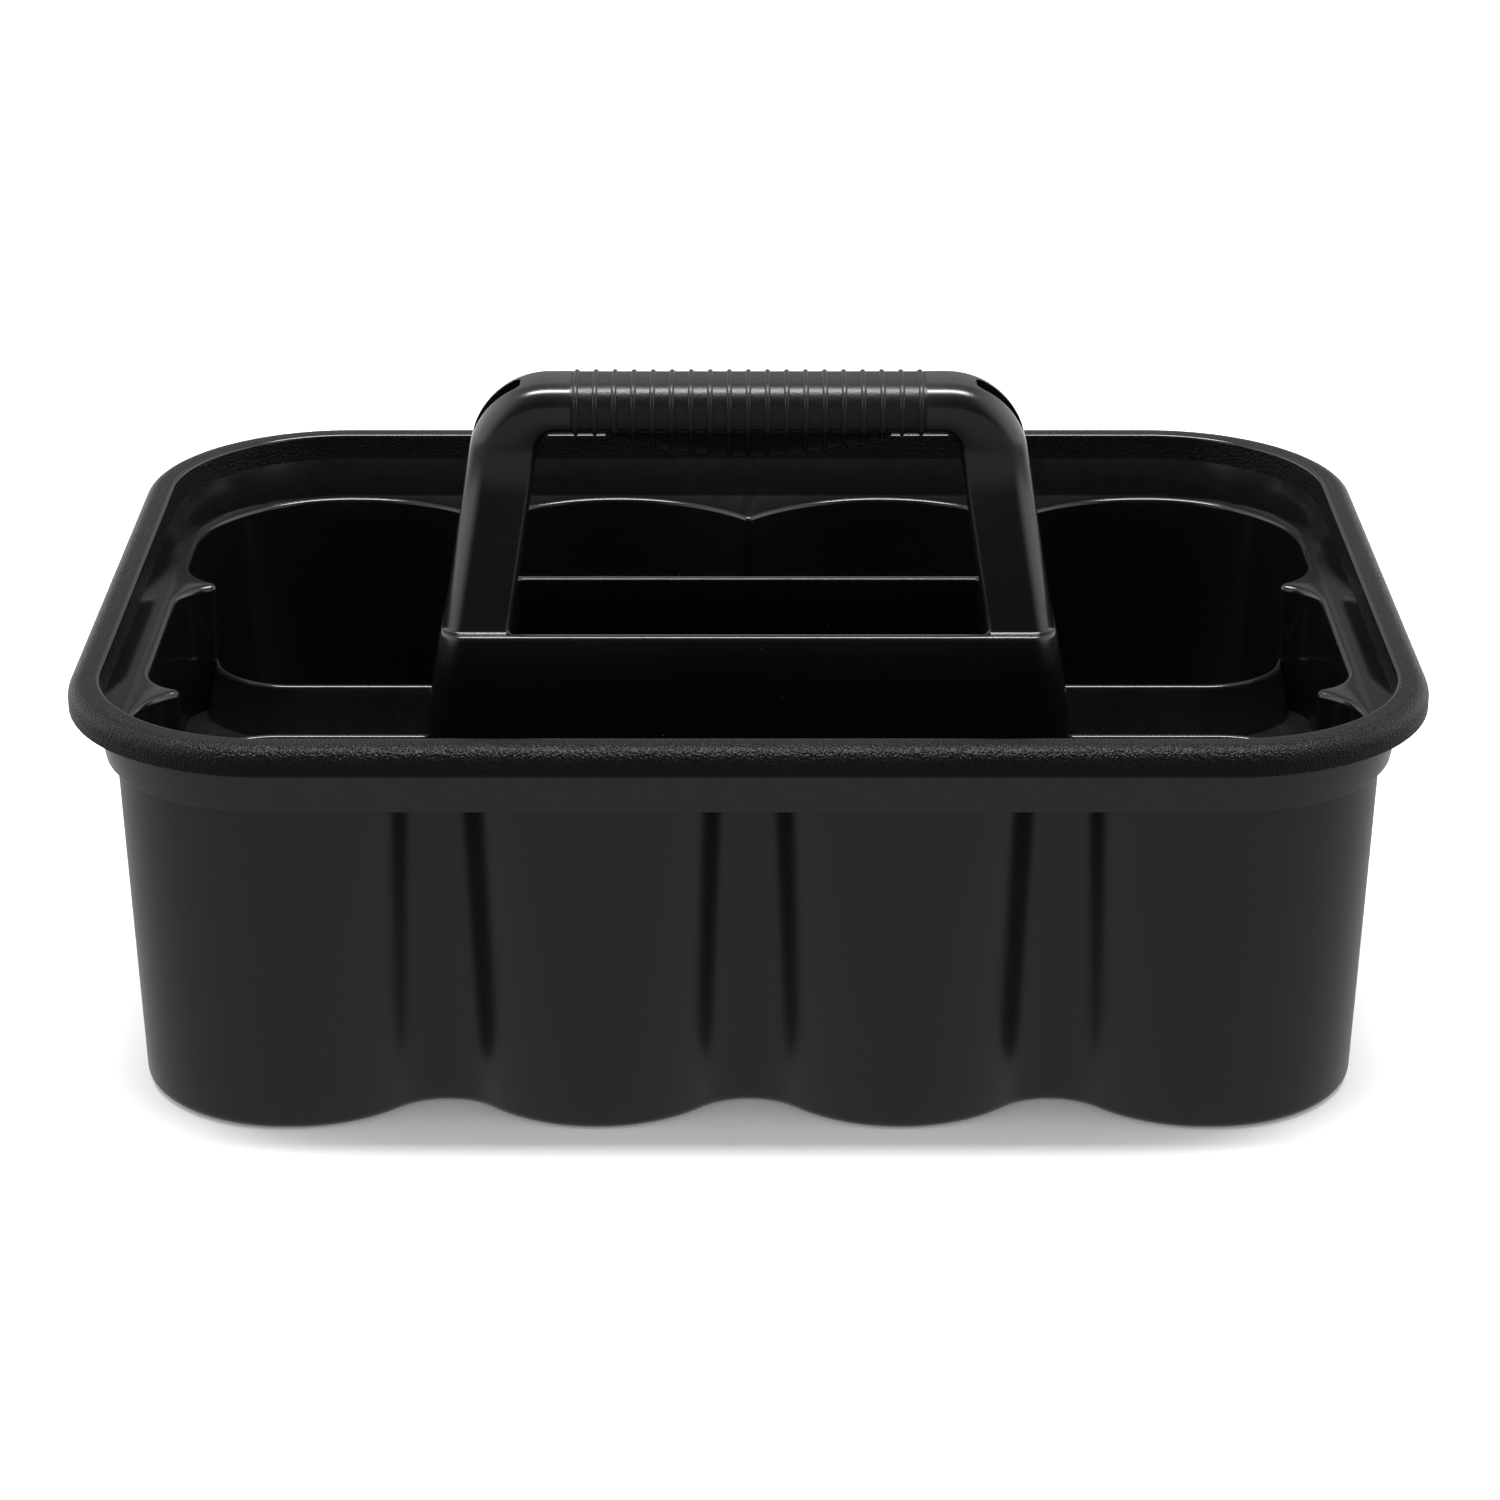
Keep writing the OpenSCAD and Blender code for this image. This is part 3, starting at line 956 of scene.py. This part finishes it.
@dataclass
class Body:
    """The fluted body, its ledge and its floor."""

    plan: Plan
    wall: BodyWall
    edge: float = 1.5
    soft_edge: float = 2.3
    soft_reach: float = 24.0
    foot: float = 2.4
    tip_inset: float = 10.0
    floor_lift: float = 0.03
    skirt: float = 0.4
    levels: int = 12

    def outside(self) -> list[Ring]:
        """The body's outside, from under the floor up to the ledge.

        Returns:
            The rings.
        """
        w, p = self.wall, self.plan
        base = w.at(0.0, Wall.OUTSIDE)
        rings = [at_height(pushed(base, -w.base_round), 0.0)]
        for a in quarter_turn(7)[1:]:
            z = w.base_round * (1 - math.cos(a))
            rings.append(at_height(pushed(w.at(z, Wall.OUTSIDE), -w.base_round * (1 - math.sin(a))), z))
        for k in range(1, self.levels + 1):
            z = w.base_round + (p.plate_z - w.base_round) * k / self.levels
            rings.append(at_height(w.at(z, Wall.OUTSIDE), z))
        return rings

    def lining(self) -> list[Ring]:
        """The body's inside, from the ledge's edge down to the floor.

        Returns:
            The rings.
        """
        w, p = self.wall, self.plan
        rings: list[Ring] = []
        top = w.at(p.ledge_z - self.edge, Wall.INSIDE)
        tip_x = p.out_x(p.ledge_z) - self.tip_inset
        off_tip = np.hypot(np.abs(top[:, 0]) - tip_x, np.abs(top[:, 1]) - p.end_ridge_y)
        soft = np.clip(1 - off_tip / self.soft_reach, 0, 1)
        radius = (self.edge + (self.soft_edge - self.edge) * soft * soft * (3 - 2 * soft))[:, None]
        for a in quarter_turn(8)[::-1]:
            place = pushed(top, radius * (1 - math.cos(a)))
            rings.append(np.c_[place, p.ledge_z - radius * (1 - math.sin(a))])
        low = p.floor_thick + self.foot
        for k in range(1, self.levels + 1):
            z = p.ledge_z - self.soft_edge + (low - p.ledge_z + self.soft_edge) * k / self.levels
            rings.append(at_height(w.at(z, Wall.INSIDE), z))
        for a in quarter_turn(5)[1:]:
            z = low - self.foot * math.sin(a)
            ring = pushed(w.at(z, Wall.INSIDE), -self.foot * (1 - math.cos(a)))
            rings.append(at_height(ring, z + self.floor_lift))
        return rings

    def build(self, body_finish: bpy.types.Material, lining_finish: bpy.types.Material) -> None:
        """Builds the body in place of the CAD tub, and dresses the CAD floor.

        Args:
            body_finish: The finish outside.
            lining_finish: The finish inside.
        """
        p = self.plan
        edge = self.wall.plain(p.half_x - p.ledge_inset, p.half_y - p.ledge_inset)
        lining = self.lining()
        foot = lining[-1][:, :2]
        outer = [at_height(foot, 0.0), *self.outside()]
        solid = Solid()
        ledge = [at_height(edge, z) for z in (p.plate_z, p.ledge_z)]
        solid.loft([*outer, *ledge, *lining, at_height(foot, self.skirt)], closed=True)
        piece = solid.piece("fluted_body", crease=42.0)
        settle(piece, Slot.TUB, body_finish, "tub")
        piece.data.materials.append(lining_finish)
        first_lined = len(outer) * len(edge)
        for face in piece.data.polygons[first_lined:]:
            face.material_index = 1
        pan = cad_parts["floor_pan"]
        pan.data.materials.clear()
        pan.data.materials.append(lining_finish)


@dataclass
class RimBead:
    """The rolled rim round the top, and the plain band under it."""

    plan: Plan
    width: float = 9.0
    wall: float = 2.2
    round: float = 4.6
    plate: float = 2.5
    overlap: float = 0.1
    band_foot: float = 1.6
    lip_edge: float = 1.1

    def build_band(self, finish: bpy.types.Material) -> None:
        """Builds the band in place of the CAD collar.

        Args:
            finish: Its finish.
        """
        p = self.plan
        foot_in = p.corner - p.ledge_inset
        top_in = p.corner - self.width - self.overlap
        outline = round_off(
            [
                (foot_in, p.collar_foot, 0.0),
                (foot_in + self.band_foot, p.collar_foot, 0.5),
                (top_in + self.wall, p.rim_base, 0.0),
                (top_in, p.rim_base, 0.0),
                (foot_in, p.ledge_z, 0.0),
            ]
        )
        solid = Solid()
        solid.loft([at_height(p.around(r), z) for r, z in outline], closed=True)
        settle(solid.piece("plain_band"), Slot.TUB, finish, "collar")

    def build_bead(self, finish: bpy.types.Material, edge_finish: bpy.types.Material) -> None:
        """Builds the rim in place of the CAD rim.

        Args:
            finish: Its finish.
            edge_finish: The smoother finish of its inner edge.
        """
        p = self.plan
        inside = p.corner - self.width
        outline = round_off(
            [
                (inside - self.overlap, p.rim_base, 0.0),
                (inside + self.wall, p.rim_base, 0.0),
                (inside + self.wall, p.rim_top - self.plate, 0.8),
                (p.corner - self.wall, p.rim_top - self.plate, 1.6),
                (p.corner - self.wall, p.rim_base, 0.5),
                (p.corner, p.rim_base, 0.7),
                (p.corner, p.rim_top, self.round),
                (inside - self.overlap, p.rim_top, self.lip_edge),
            ],
            steps=8,
        )
        solid = Solid()
        solid.loft([at_height(p.around(r, steps=36), z) for r, z in outline], closed=True)
        piece = solid.piece("rolled_rim")
        settle(piece, Slot.RIM, finish, "rim")
        piece.data.materials.append(edge_finish)
        for face in piece.data.polygons:
            x, y, z = face.center / MM
            away = math.hypot(max(abs(x) - p.centre_x, 0.0), max(abs(y) - p.centre_y, 0.0))
            if z > p.rim_top - self.lip_edge and away < inside + self.lip_edge * 0.9:
                face.material_index = 1


def oblong(half_x: float, half_y: float, radius: float, steps: int = 10, middle: float = 0.0) -> Ring:
    """A rectangle with round corners.

    Args:
        half_x: The half length.
        half_y: The half depth.
        radius: The corners' radius.
        steps: Steps of each corner.
        middle: Where its middle is along X.

    Returns:
        The outline, counter-clockwise.
    """
    points = round_off(
        [
            (half_x, half_y, radius),
            (-half_x, half_y, radius),
            (-half_x, -half_y, radius),
            (half_x, -half_y, radius),
        ],
        steps,
    )
    return points + (middle, 0.0)


@dataclass
class CentreBin:
    """The bin in the middle, with a hollow core under each end of its deck."""

    plan: Plan
    wall: float = 3.2
    corner: float = 8.0
    edge: float = 1.2
    leg_width: float = 20.2
    core_gap: float = 2.4
    deck: float = 3.0
    mouth_corner: float = 1.5
    mouth_edge: float = 0.7

    def __post_init__(self) -> None:
        """Works out the opening's half length."""
        self.opening = self.plan.bin_half_length - LAP - self.leg_width

    def core(self, side: int) -> bpy.types.Object:
        """The hollow under one end of the deck, as a cutter.

        Args:
            side: 1 for +X, -1 for -X.

        Returns:
            The cutter.
        """
        p = self.plan
        start = self.opening + self.core_gap
        solid = Solid()
        rings: list[Ring] = []
        for z in (p.floor_thick - 1, p.bin_top - self.deck):
            end = p.bin_x(z) - self.wall
            ring = oblong((end - start) / 2, p.bin_y(z) - self.wall, 2.5, 4, (end + start) / 2)
            rings.append(at_height(ring if side > 0 else (ring * (-1, 1))[::-1], z))
        solid.loft(rings)
        return solid.piece("core_cutter")

    def build(self, finish: bpy.types.Material) -> None:
        """Builds the bin.

        Args:
            finish: Its finish.
        """
        p = self.plan
        rings: list[Ring] = []
        for z in np.linspace(p.floor_thick, p.bin_top - self.edge, 8):
            rings.append(at_height(oblong(p.bin_x(z), p.bin_y(z), self.corner), z))
        top = oblong(p.bin_x(p.bin_top), p.bin_y(p.bin_top), self.corner)
        for a in quarter_turn(5)[1:]:
            z = p.bin_top - self.edge * (1 - math.sin(a))
            rings.append(at_height(pushed(top, -self.edge * (1 - math.cos(a))), z))
        edge = self.mouth_edge
        for a in quarter_turn(5)[::-1]:
            z = p.bin_top - edge * (1 - math.sin(a))
            wide = p.bin_y(p.bin_top) - self.wall + edge * (1 - math.cos(a))
            rings.append(at_height(oblong(self.opening, wide, self.mouth_corner), z))
        for z in np.linspace(p.bin_top - edge, p.floor_thick, 8)[1:]:
            rings.append(at_height(oblong(self.opening, p.bin_y(z) - self.wall, self.mouth_corner), z))
        solid = Solid()
        solid.loft(rings, closed=True)
        piece = solid.piece("centre_bin_shell")
        carve(piece, [self.core(1), self.core(-1)])
        settle(piece, Slot.BIN, finish, "centre_bin")


@dataclass
class EndPocket:
    """A shallow raised pocket between the bin and an end wall, on the +X or the -X side."""

    plan: Plan
    wall: BodyWall
    side: int
    depth: float = 16.0
    lip_wall: float = 2.4
    lip_y: float = 19.0
    turn: float = 65.0
    turn_radius: float = 28.0
    turn_out: float = 9.5
    bite: float = 1.1
    under: float = 1.0
    end_place: tuple[float, float] = (-1.4, 1.2)
    fillet: float = 3.5
    steps: int = 20

    def __post_init__(self) -> None:
        """Works out the heights and how the lips lean."""
        p = self.plan
        self.lip_z = float(extent("end_pocket_right")[1][2])
        self.pocket_z = self.lip_z - self.depth
        self.turn_x = p.centre_x + self.turn_out
        span_top = self.reach(self.lip_z) - p.bin_x(self.lip_z)
        span_low = self.reach(p.floor_thick) - p.bin_x(p.floor_thick)
        self.taper = span_top / span_low
        self.fixed_x = (p.bin_x(self.lip_z) - self.taper * p.bin_x(p.floor_thick)) / (1 - self.taper)

    def reach(self, z: float) -> float:
        """How far out the tip of the end ridge is at a height.

        Args:
            z: The height.

        Returns:
            Its distance along X.
        """
        w = self.wall
        return self.plan.out_x(z) - self.plan.wall - w.run((w.end_ridge_depth, w.end_flute_depth), z)

    def line(self, off: float) -> Ring:
        """The lip's line in plan at its top.

        Args:
            off: The distance off its pocket side.

        Returns:
            The points, from the bin to the end ridge.
        """
        p = self.plan
        t = np.radians(np.linspace(0.0, self.turn, self.steps + 1))
        r = self.turn_radius - off
        start = np.array([[p.bin_x(self.lip_z) - LAP, self.lip_y + off]])
        turn = np.array([[self.turn_x, self.lip_y + off]])
        straight = start + (turn - start) * np.linspace(0, 1, 7)[:-1, None]
        arc = np.c_[self.turn_x + r * np.sin(t), self.lip_y + self.turn_radius - r * np.cos(t)]
        shift, grow = self.end_place
        end = np.array([[self.reach(self.lip_z) + self.bite, p.end_ridge_y + shift + grow * off]])
        return np.r_[straight, arc, end]

    def leaned(self, ring: Ring, z: float) -> Ring:
        """Moves the lip's line to another height, leaning with the walls it joins.

        Args:
            ring: The line at the lip's top.
            z: The height.

        Returns:
            The line in space.
        """
        share = (self.lip_z - z) / (self.lip_z - self.plan.floor_thick)
        k = 1 - (1 - 1 / self.taper) * share
        return np.c_[(ring[:, 0] - self.fixed_x) * k + self.fixed_x, ring[:, 1], np.full(len(ring), z)]

    def lip(self, solid: Solid, flip: int) -> None:
        """Adds one lip with a rounded top and a pocket face that leans out towards its foot.

        Args:
            solid: The solid to add to.
            flip: 1 for the +Y lip, -1 for the -Y lip.
        """
        half, below = self.lip_wall / 2, self.pocket_z - self.under
        spots = [(0.0, self.plan.floor_thick), (0.0, below), (-self.fillet, below)]
        for a in quarter_turn(6):
            spots.append((-self.fillet * (1 - math.cos(a)), self.pocket_z + self.fillet * (1 - math.sin(a))))
        for a in np.linspace(0.0, math.pi, 11):
            spots.append((half - half * math.cos(a), self.lip_z - half + half * math.sin(a)))
        spots.append((self.lip_wall, self.plan.floor_thick))
        section = [self.leaned(self.line(off), z) for off, z in spots]
        mirror = np.array([self.side, flip, 1])
        solid.loft([np.array(station) * mirror for station in zip(*section)])

    def floor(self, solid: Solid) -> None:
        """Adds the pocket's raised floor.

        Args:
            solid: The solid to add to.
        """
        p, w = self.plan, self.wall
        z = self.pocket_z
        depth = w.run((w.end_ridge_depth, w.end_flute_depth), z)
        tip = w.run((w.ridge_tip, w.end_round[1] + p.wall), z)
        arm = w.half_valley(w.end_reach[0], depth, tip)[: w.arc_steps]
        end = np.c_[p.out_x(z) - p.wall - arm[:, 1] + LAP, p.end_ridge_y + arm[:, 0]][::-1]
        lip = self.leaned(self.line(self.lip_wall / 2), z)[:, :2]
        half = np.r_[lip, end]
        ring = np.r_[half, half[::-1] * (1, -1)] * (self.side, 1)
        solid.loft([at_height(ring, z - self.lip_wall), at_height(ring, z)])

    def build(self, finish: bpy.types.Material, node: str) -> None:
        """Builds the pocket.

        Args:
            finish: Its finish.
            node: The CAD node it stands for.
        """
        solid = Solid()
        self.lip(solid, 1)
        self.lip(solid, -1)
        self.floor(solid)
        settle(solid.piece(f"pocket_{'right' if self.side > 0 else 'left'}"), Slot.TUB, finish, node)


@dataclass
class Handle:
    """The bail handle: two splayed legs, open slots at the shoulders and a ribbed grip."""

    plan: Plan
    depth: float = 24.0
    leg_width: float = 20.2
    bar_height: float = 14.0
    shoulder: float = 24.0
    inner_round: float = 5.5
    slot_wall: float = 7.5
    slot_half: float = 10.0
    slot_reach: float = 6.5
    bin_wall: float = 3.2
    foot_fillet: float = 1.0
    flare: float = 1.2
    outer_edge: float = 6.5
    inner_edge: float = 2.0
    grip_length: float = 104.0
    core_inset: float = 2.6
    ribs: int = 19
    rib_pitch: float = 5.6
    rib_height: float = 0.6
    rib_half: float = 0.78
    belly_length: float = 90.0
    belly_depth: float = 9.4
    belly_inset: float = 3.0
    belly_ends: float = 3.2
    grip_inset: float = 0.4

    def __post_init__(self) -> None:
        """Reads the bar's height from the CAD."""
        self.bar_top = float(extent("handle_bail")[1][2])
        self.bar_base = self.bar_top - self.bar_height
        self.slope = self.plan.bin_end_slope

    def leg_out(self, z: float) -> float:
        """Where a leg's outer side is at a height.

        Args:
            z: The height.

        Returns:
            Its distance along X.
        """
        return self.plan.bin_half_length - LAP - (z - self.plan.bin_top) * self.slope

    def bend(self, x: float, z: float, radius: float, steps: int) -> Ring:
        """The arc from a leg's side to the bar.

        Args:
            x: Where the arc starts along X.
            z: The height where the arc starts.
            radius: Its radius.
            steps: Its steps.

        Returns:
            Points as (x, z).
        """
        lean = math.atan(self.slope)
        middle = x - radius / math.cos(lean)
        t = np.linspace(lean, math.pi / 2, steps + 1)
        return np.c_[middle + radius * np.cos(t), z + radius * np.sin(t)]

    def half_depth(self, z: float) -> float:
        """The bail's half depth at height z: the legs spread to the bin's walls at the foot.

        Args:
            z: The height.

        Returns:
            The half depth.
        """
        p = self.plan
        shoulder_z = self.bar_top - self.shoulder
        share = min(1.0, max(0.0, (shoulder_z - z) / (shoulder_z - p.bin_top))) ** self.flare
        foot = p.bin_half_depth - self.bin_wall
        return self.depth / 2 + (foot - self.depth / 2) * share

    def section(self, inner: np.ndarray, outer: np.ndarray, half: float, grow: float = 0.0) -> Ring:
        """One cross-section of the bail, between an inner and an outer point.

        Args:
            inner: The inner point as (x, z).
            outer: The outer point as (x, z).
            half: The half depth.
            grow: How much the section spreads in depth at the leg's foot.

        Returns:
            The closed section in space.
        """
        across = outer - inner
        length = float(np.linalg.norm(across))
        across = across / length
        half = half + grow
        edge = self.outer_edge + grow * 0.3
        flat = round_off(
            [
                (length, half, edge),
                (0.0, half, self.inner_edge),
                (0.0, -half, self.inner_edge),
                (length, -half, edge),
            ],
            7,
        )
        spots = inner + flat[:, :1] * across
        return np.c_[spots[:, 0], flat[:, 1], spots[:, 1]]

    def bail(self, finish: bpy.types.Material) -> None:
        """Builds the legs, the shoulders and the bar's core in one sweep.

        Args:
            finish: Its finish.
        """
        p = self.plan
        foot, steps = p.bin_top, 18
        shoulder_z = self.bar_top - self.shoulder
        inner_z = self.bar_base - self.inner_round
        outer = self.bend(self.leg_out(shoulder_z), shoulder_z, self.shoulder, steps)
        inner = self.bend(self.leg_out(inner_z) - self.leg_width, inner_z, self.inner_round, steps)
        half: list[Ring] = []
        spread = self.foot_fillet
        foot_outer = np.array([self.leg_out(foot), foot])
        foot_inner = foot_outer - (self.leg_width, 0.0)
        for a in quarter_turn(6):
            rise = spread * (1 - math.cos(a))
            grow = spread * (1 - math.sin(a))
            up = (-rise * self.slope, rise)
            half.append(self.section(foot_inner + up, foot_outer + up, self.half_depth(foot + rise), grow))
        for share in np.linspace(0.0, 1.0, 9)[1:-1]:
            near = foot_inner + (inner[0] - foot_inner) * share
            far = foot_outer + (outer[0] - foot_outer) * share
            if near[1] > foot + spread + 0.5:
                half.append(self.section(near, far, self.half_depth(float(far[1]))))
        half.extend(self.section(a, b, self.half_depth(float(b[1]))) for a, b in zip(inner, outer))
        other = [ring * (-1, 1, 1) for ring in half[::-1]]
        start, end = half[-1], other[0]
        bar = [start + (end - start) * share for share in np.linspace(0.0, 1.0, 11)[1:-1]]
        solid = Solid()
        solid.loft(half + bar + other)
        piece = solid.piece("bail_handle")
        carve(piece, [self.slot_cutter(1), self.slot_cutter(-1), self.waist_cutter()])
        settle(piece, Slot.HANDLE, finish, "handle_bail")

    def slot_cutter(self, side: int) -> bpy.types.Object:
        """The open slot in a shoulder, as a cutter.

        Args:
            side: 1 for +X, -1 for -X.

        Returns:
            The cutter.
        """
        shoulder_z = self.bar_top - self.shoulder
        x = self.leg_out(shoulder_z) - self.shoulder * 0.3
        z = shoulder_z + self.shoulder * 0.7
        solid = Solid()
        ring = oblong(self.slot_half, self.depth / 2 - self.slot_wall, 2.5, 5)
        rings: list[Ring] = []
        turn = math.radians(45.0)
        for level in (-self.slot_reach, self.slot_reach):
            spun_x = ring[:, 0] * math.cos(turn) + level * math.sin(turn)
            spun_z = -ring[:, 0] * math.sin(turn) + level * math.cos(turn)
            rings.append(np.c_[side * (x + spun_x), ring[:, 1], z + spun_z])
        solid.loft(rings)
        return solid.piece("slot_cutter")

    def waist_cutter(self) -> bpy.types.Object:
        """A frame round the bar's core where the grip sits, as a cutter.

        Returns:
            The cutter.
        """
        half = self.grip_length / 2
        solid = Solid()
        corners = np.array([(-1.0, -1.0), (1.0, -1.0), (1.0, 1.0), (-1.0, 1.0)])
        middle = self.bar_base + self.bar_height / 2
        big, small = (
            corners * (self.depth / 2 + more, self.bar_height / 2 + more) for more in (1.0, -self.core_inset)
        )
        rings = [
            np.array([(x, y, middle + z) for y, z in shape])
            for x, shape in ((-half, big), (half, big), (half, small), (-half, small))
        ]
        solid.loft(rings, closed=True)
        return solid.piece("waist_cutter")

    def rib_rise(self, x: float) -> float:
        """How far the grip stands proud at x: the ribs' rounded profile.

        Args:
            x: The place along the bar.

        Returns:
            The height over the grip's own surface.
        """
        place = x / self.rib_pitch + (self.ribs - 1) / 2
        nearest = round(place)
        if not 0 <= nearest < self.ribs:
            return 0.0
        gap = abs(place - nearest) * self.rib_pitch / self.rib_half
        return self.rib_height * max(0.0, 1 - gap**2.6) ** 0.6 if gap < 1 else 0.0

    def stations(self, half: float) -> list[float]:
        """Places along the bar, close together on each rib.

        Args:
            half: The half length to cover.

        Returns:
            The places in order.
        """
        spots = {round(-half, 3), round(half, 3)}
        for i in range(self.ribs):
            x = (i - (self.ribs - 1) / 2) * self.rib_pitch
            for off in (-0.8, -0.77, -0.7, -0.55, -0.3, 0.0, 0.3, 0.55, 0.7, 0.77, 0.8):
                if abs(x + off) < half:
                    spots.add(round(x + off, 3))
        return sorted(spots)

    def belly_z(self, x: float) -> float:
        """The height of the belly's lowest line.

        Args:
            x: The place along the bar.

        Returns:
            The height.
        """
        half = self.belly_length / 2
        radius = (half**2 + self.belly_depth**2) / (2 * self.belly_depth)
        return self.bar_base - self.belly_depth + radius - math.sqrt(radius**2 - x**2)

    def grip(self, finish: bpy.types.Material) -> None:
        """Builds the ribbed grip and its belly.

        Args:
            finish: Its finish.
        """
        solid = Solid()
        half = self.depth / 2 - self.grip_inset
        rings: list[Ring] = []
        for x in self.stations(self.grip_length / 2):
            h = self.rib_rise(x)
            flat = round_off(
                [
                    (half + h, self.bar_top + h, self.outer_edge + h),
                    (-half - h, self.bar_top + h, self.outer_edge + h),
                    (-half - h, self.bar_base - h, 2.0),
                    (half + h, self.bar_base - h, 2.0),
                ],
                7,
            )
            rings.append(np.c_[np.full(len(flat), x), flat])
        solid.loft(rings)
        rings = []
        for x in self.stations(self.belly_length / 2 - self.belly_ends):
            h = self.rib_rise(x)
            low = self.belly_z(x) - h
            wide = self.depth / 2 - self.belly_inset + h
            drop = self.bar_base - low
            foot = wide - min(4.6, drop * 0.55)
            edge = min(2.6, max(0.3, drop * 0.4))
            flat = round_off(
                [
                    (wide, self.bar_base + 1.5, 0.0),
                    (-wide, self.bar_base + 1.5, 0.0),
                    (-wide, self.bar_base, 0.0),
                    (-foot, low, edge),
                    (foot, low, edge),
                    (wide, self.bar_base, 0.0),
                ],
                6,
            )
            rings.append(np.c_[np.full(len(flat), x), flat])
        solid.loft(rings)
        settle(solid.piece("ribbed_grip", crease=50.0), Slot.GRIP, finish, "grip_sleeve")


# ---------------------------------------------------------------- the studio


@dataclass
class Studio:
    """The pale floor, the lights and the camera."""

    camera_back: float = 1.15622
    camera_up: float = 0.54127
    pitch: float = 22.44
    lens: float = 98.84
    nudge: float = 0.00107
    front_air: float = 0.075
    back_air: float = 0.5
    side_air: float = 1.6
    seen_air: float = 1.05
    floor_white: tuple[float, float, float, float] = (0.96, 0.96, 0.965, 1.0)
    floor_lift: float = 0.12
    floor_glow: float = 0.5
    far_glow: float = 1.2
    box_place: tuple[float, float, float] = (0.0, -0.05, 1.6)
    box_size: tuple[float, float] = (1.3, 0.34)
    box_power: float = 46.0

    def floor(self) -> None:
        """Lays a wide floor that looks white and reflects as a grey, paler behind the caddy."""
        size = 14.0
        mesh = bpy.data.meshes.new("studio_floor")
        corners = [(-size, -size, 0), (size, -size, 0), (size, size, 0), (-size, size, 0)]
        mesh.from_pydata(corners, [], [(0, 1, 2, 3)])
        made = bpy.data.objects.new("studio_floor", mesh)
        bpy.context.scene.collection.objects.link(made)
        material = bpy.data.materials.new("white_sweep")
        material.use_nodes = True
        material.node_tree.nodes.clear()
        w = Wiring(material.node_tree)
        white = w.node("ShaderNodeBsdfDiffuse", {"Color": self.floor_white}).outputs[0]
        lift = w.node("ShaderNodeEmission", {"Color": WHITE, "Strength": self.floor_lift}).outputs[0]
        seen = w.node("ShaderNodeAddShader", {0: white, 1: lift}).outputs[0]
        spot = w.node("ShaderNodeSeparateXYZ", {0: w.node("ShaderNodeNewGeometry").outputs["Position"]})
        glow = w.spread(spot.outputs[1], 0.1, 0.7, self.floor_glow, self.far_glow)
        felt = w.node("ShaderNodeEmission", {"Color": WHITE, "Strength": glow}).outputs[0]
        w.node("ShaderNodeOutputMaterial", {"Surface": w.by_ray(felt, seen)})
        mesh.materials.append(material)

    def soft_box(self) -> None:
        """Hangs the soft box over the caddy."""
        data = bpy.data.lights.new("overhead_softbox", "AREA")
        data.shape = "RECTANGLE"
        data.size, data.size_y = self.box_size
        data.energy = self.box_power
        lamp = bpy.data.objects.new("overhead_softbox", data)
        lamp.location = self.box_place
        aim = Vector((0.0, 0.0, 0.08)) - Vector(self.box_place)
        lamp.rotation_euler = aim.to_track_quat("-Z", "Y").to_euler()
        bpy.context.scene.collection.objects.link(lamp)

    def air(self) -> None:
        """Surrounds the caddy with white, dim in front of it and bright behind and beside it."""
        world = bpy.data.worlds.new("studio_air")
        bpy.context.scene.world = world
        world.use_nodes = True
        world.node_tree.nodes.clear()
        w = Wiring(world.node_tree)
        heading = w.node("ShaderNodeSeparateXYZ", {0: w.node("ShaderNodeTexCoord").outputs["Generated"]})
        behind = w.spread(heading.outputs[1], -0.75, 0.15, self.front_air, self.back_air)
        aside = w.spread(w.math("ABSOLUTE", heading.outputs[0]), 0.4, 0.85, 0.0, self.side_air)
        felt, seen = (
            w.node("ShaderNodeBackground", {"Color": WHITE, "Strength": strength}).outputs[0]
            for strength in (w.math("ADD", behind, aside), self.seen_air)
        )
        w.node("ShaderNodeOutputWorld", {"Surface": w.by_ray(felt, seen)})

    def camera(self) -> None:
        """Sets the camera in front of the long side, looking down."""
        data = bpy.data.cameras.new("front_camera")
        data.lens = self.lens
        data.sensor_width = 36.0
        data.shift_x = self.nudge
        data.clip_end = 60.0
        made = bpy.data.objects.new("front_camera", data)
        made.location = (0.0, -self.camera_back, self.camera_up)
        made.rotation_euler = (math.radians(90.0 - self.pitch), 0.0, 0.0)
        bpy.context.scene.collection.objects.link(made)
        bpy.context.scene.camera = made

    def colours(self) -> None:
        """Keeps plain display colours, so that white stays white."""
        scene = bpy.context.scene
        scene.view_settings.view_transform = "Standard"
        scene.view_settings.look = "None"


def main() -> None:
    """Builds the caddy and its studio."""
    logging.basicConfig(level=logging.INFO, format="%(name)s: %(message)s")
    effects = Effects()
    satin = BODY_FINISH.dress(effects)
    lining = LINING_FINISH.dress(effects)
    plan = Plan()
    wall = BodyWall(plan)
    Body(plan, wall).build(satin, lining)
    bead = RimBead(plan)
    bead.build_band(lining)
    bead.build_bead(RIM_FINISH.dress(effects), lining)
    CentreBin(plan).build(BIN_FINISH.dress(effects))
    EndPocket(plan, wall, 1).build(lining, "end_pocket_right")
    EndPocket(plan, wall, -1).build(lining, "end_pocket_left")
    handle = Handle(plan)
    handle.bail(HANDLE_FINISH.dress(effects))
    handle.grip(GRIP_FINISH.dress(effects))
    studio = Studio()
    studio.floor()
    studio.soft_box()
    studio.air()
    studio.camera()
    studio.colours()


if __name__ == "__main__":
    main()
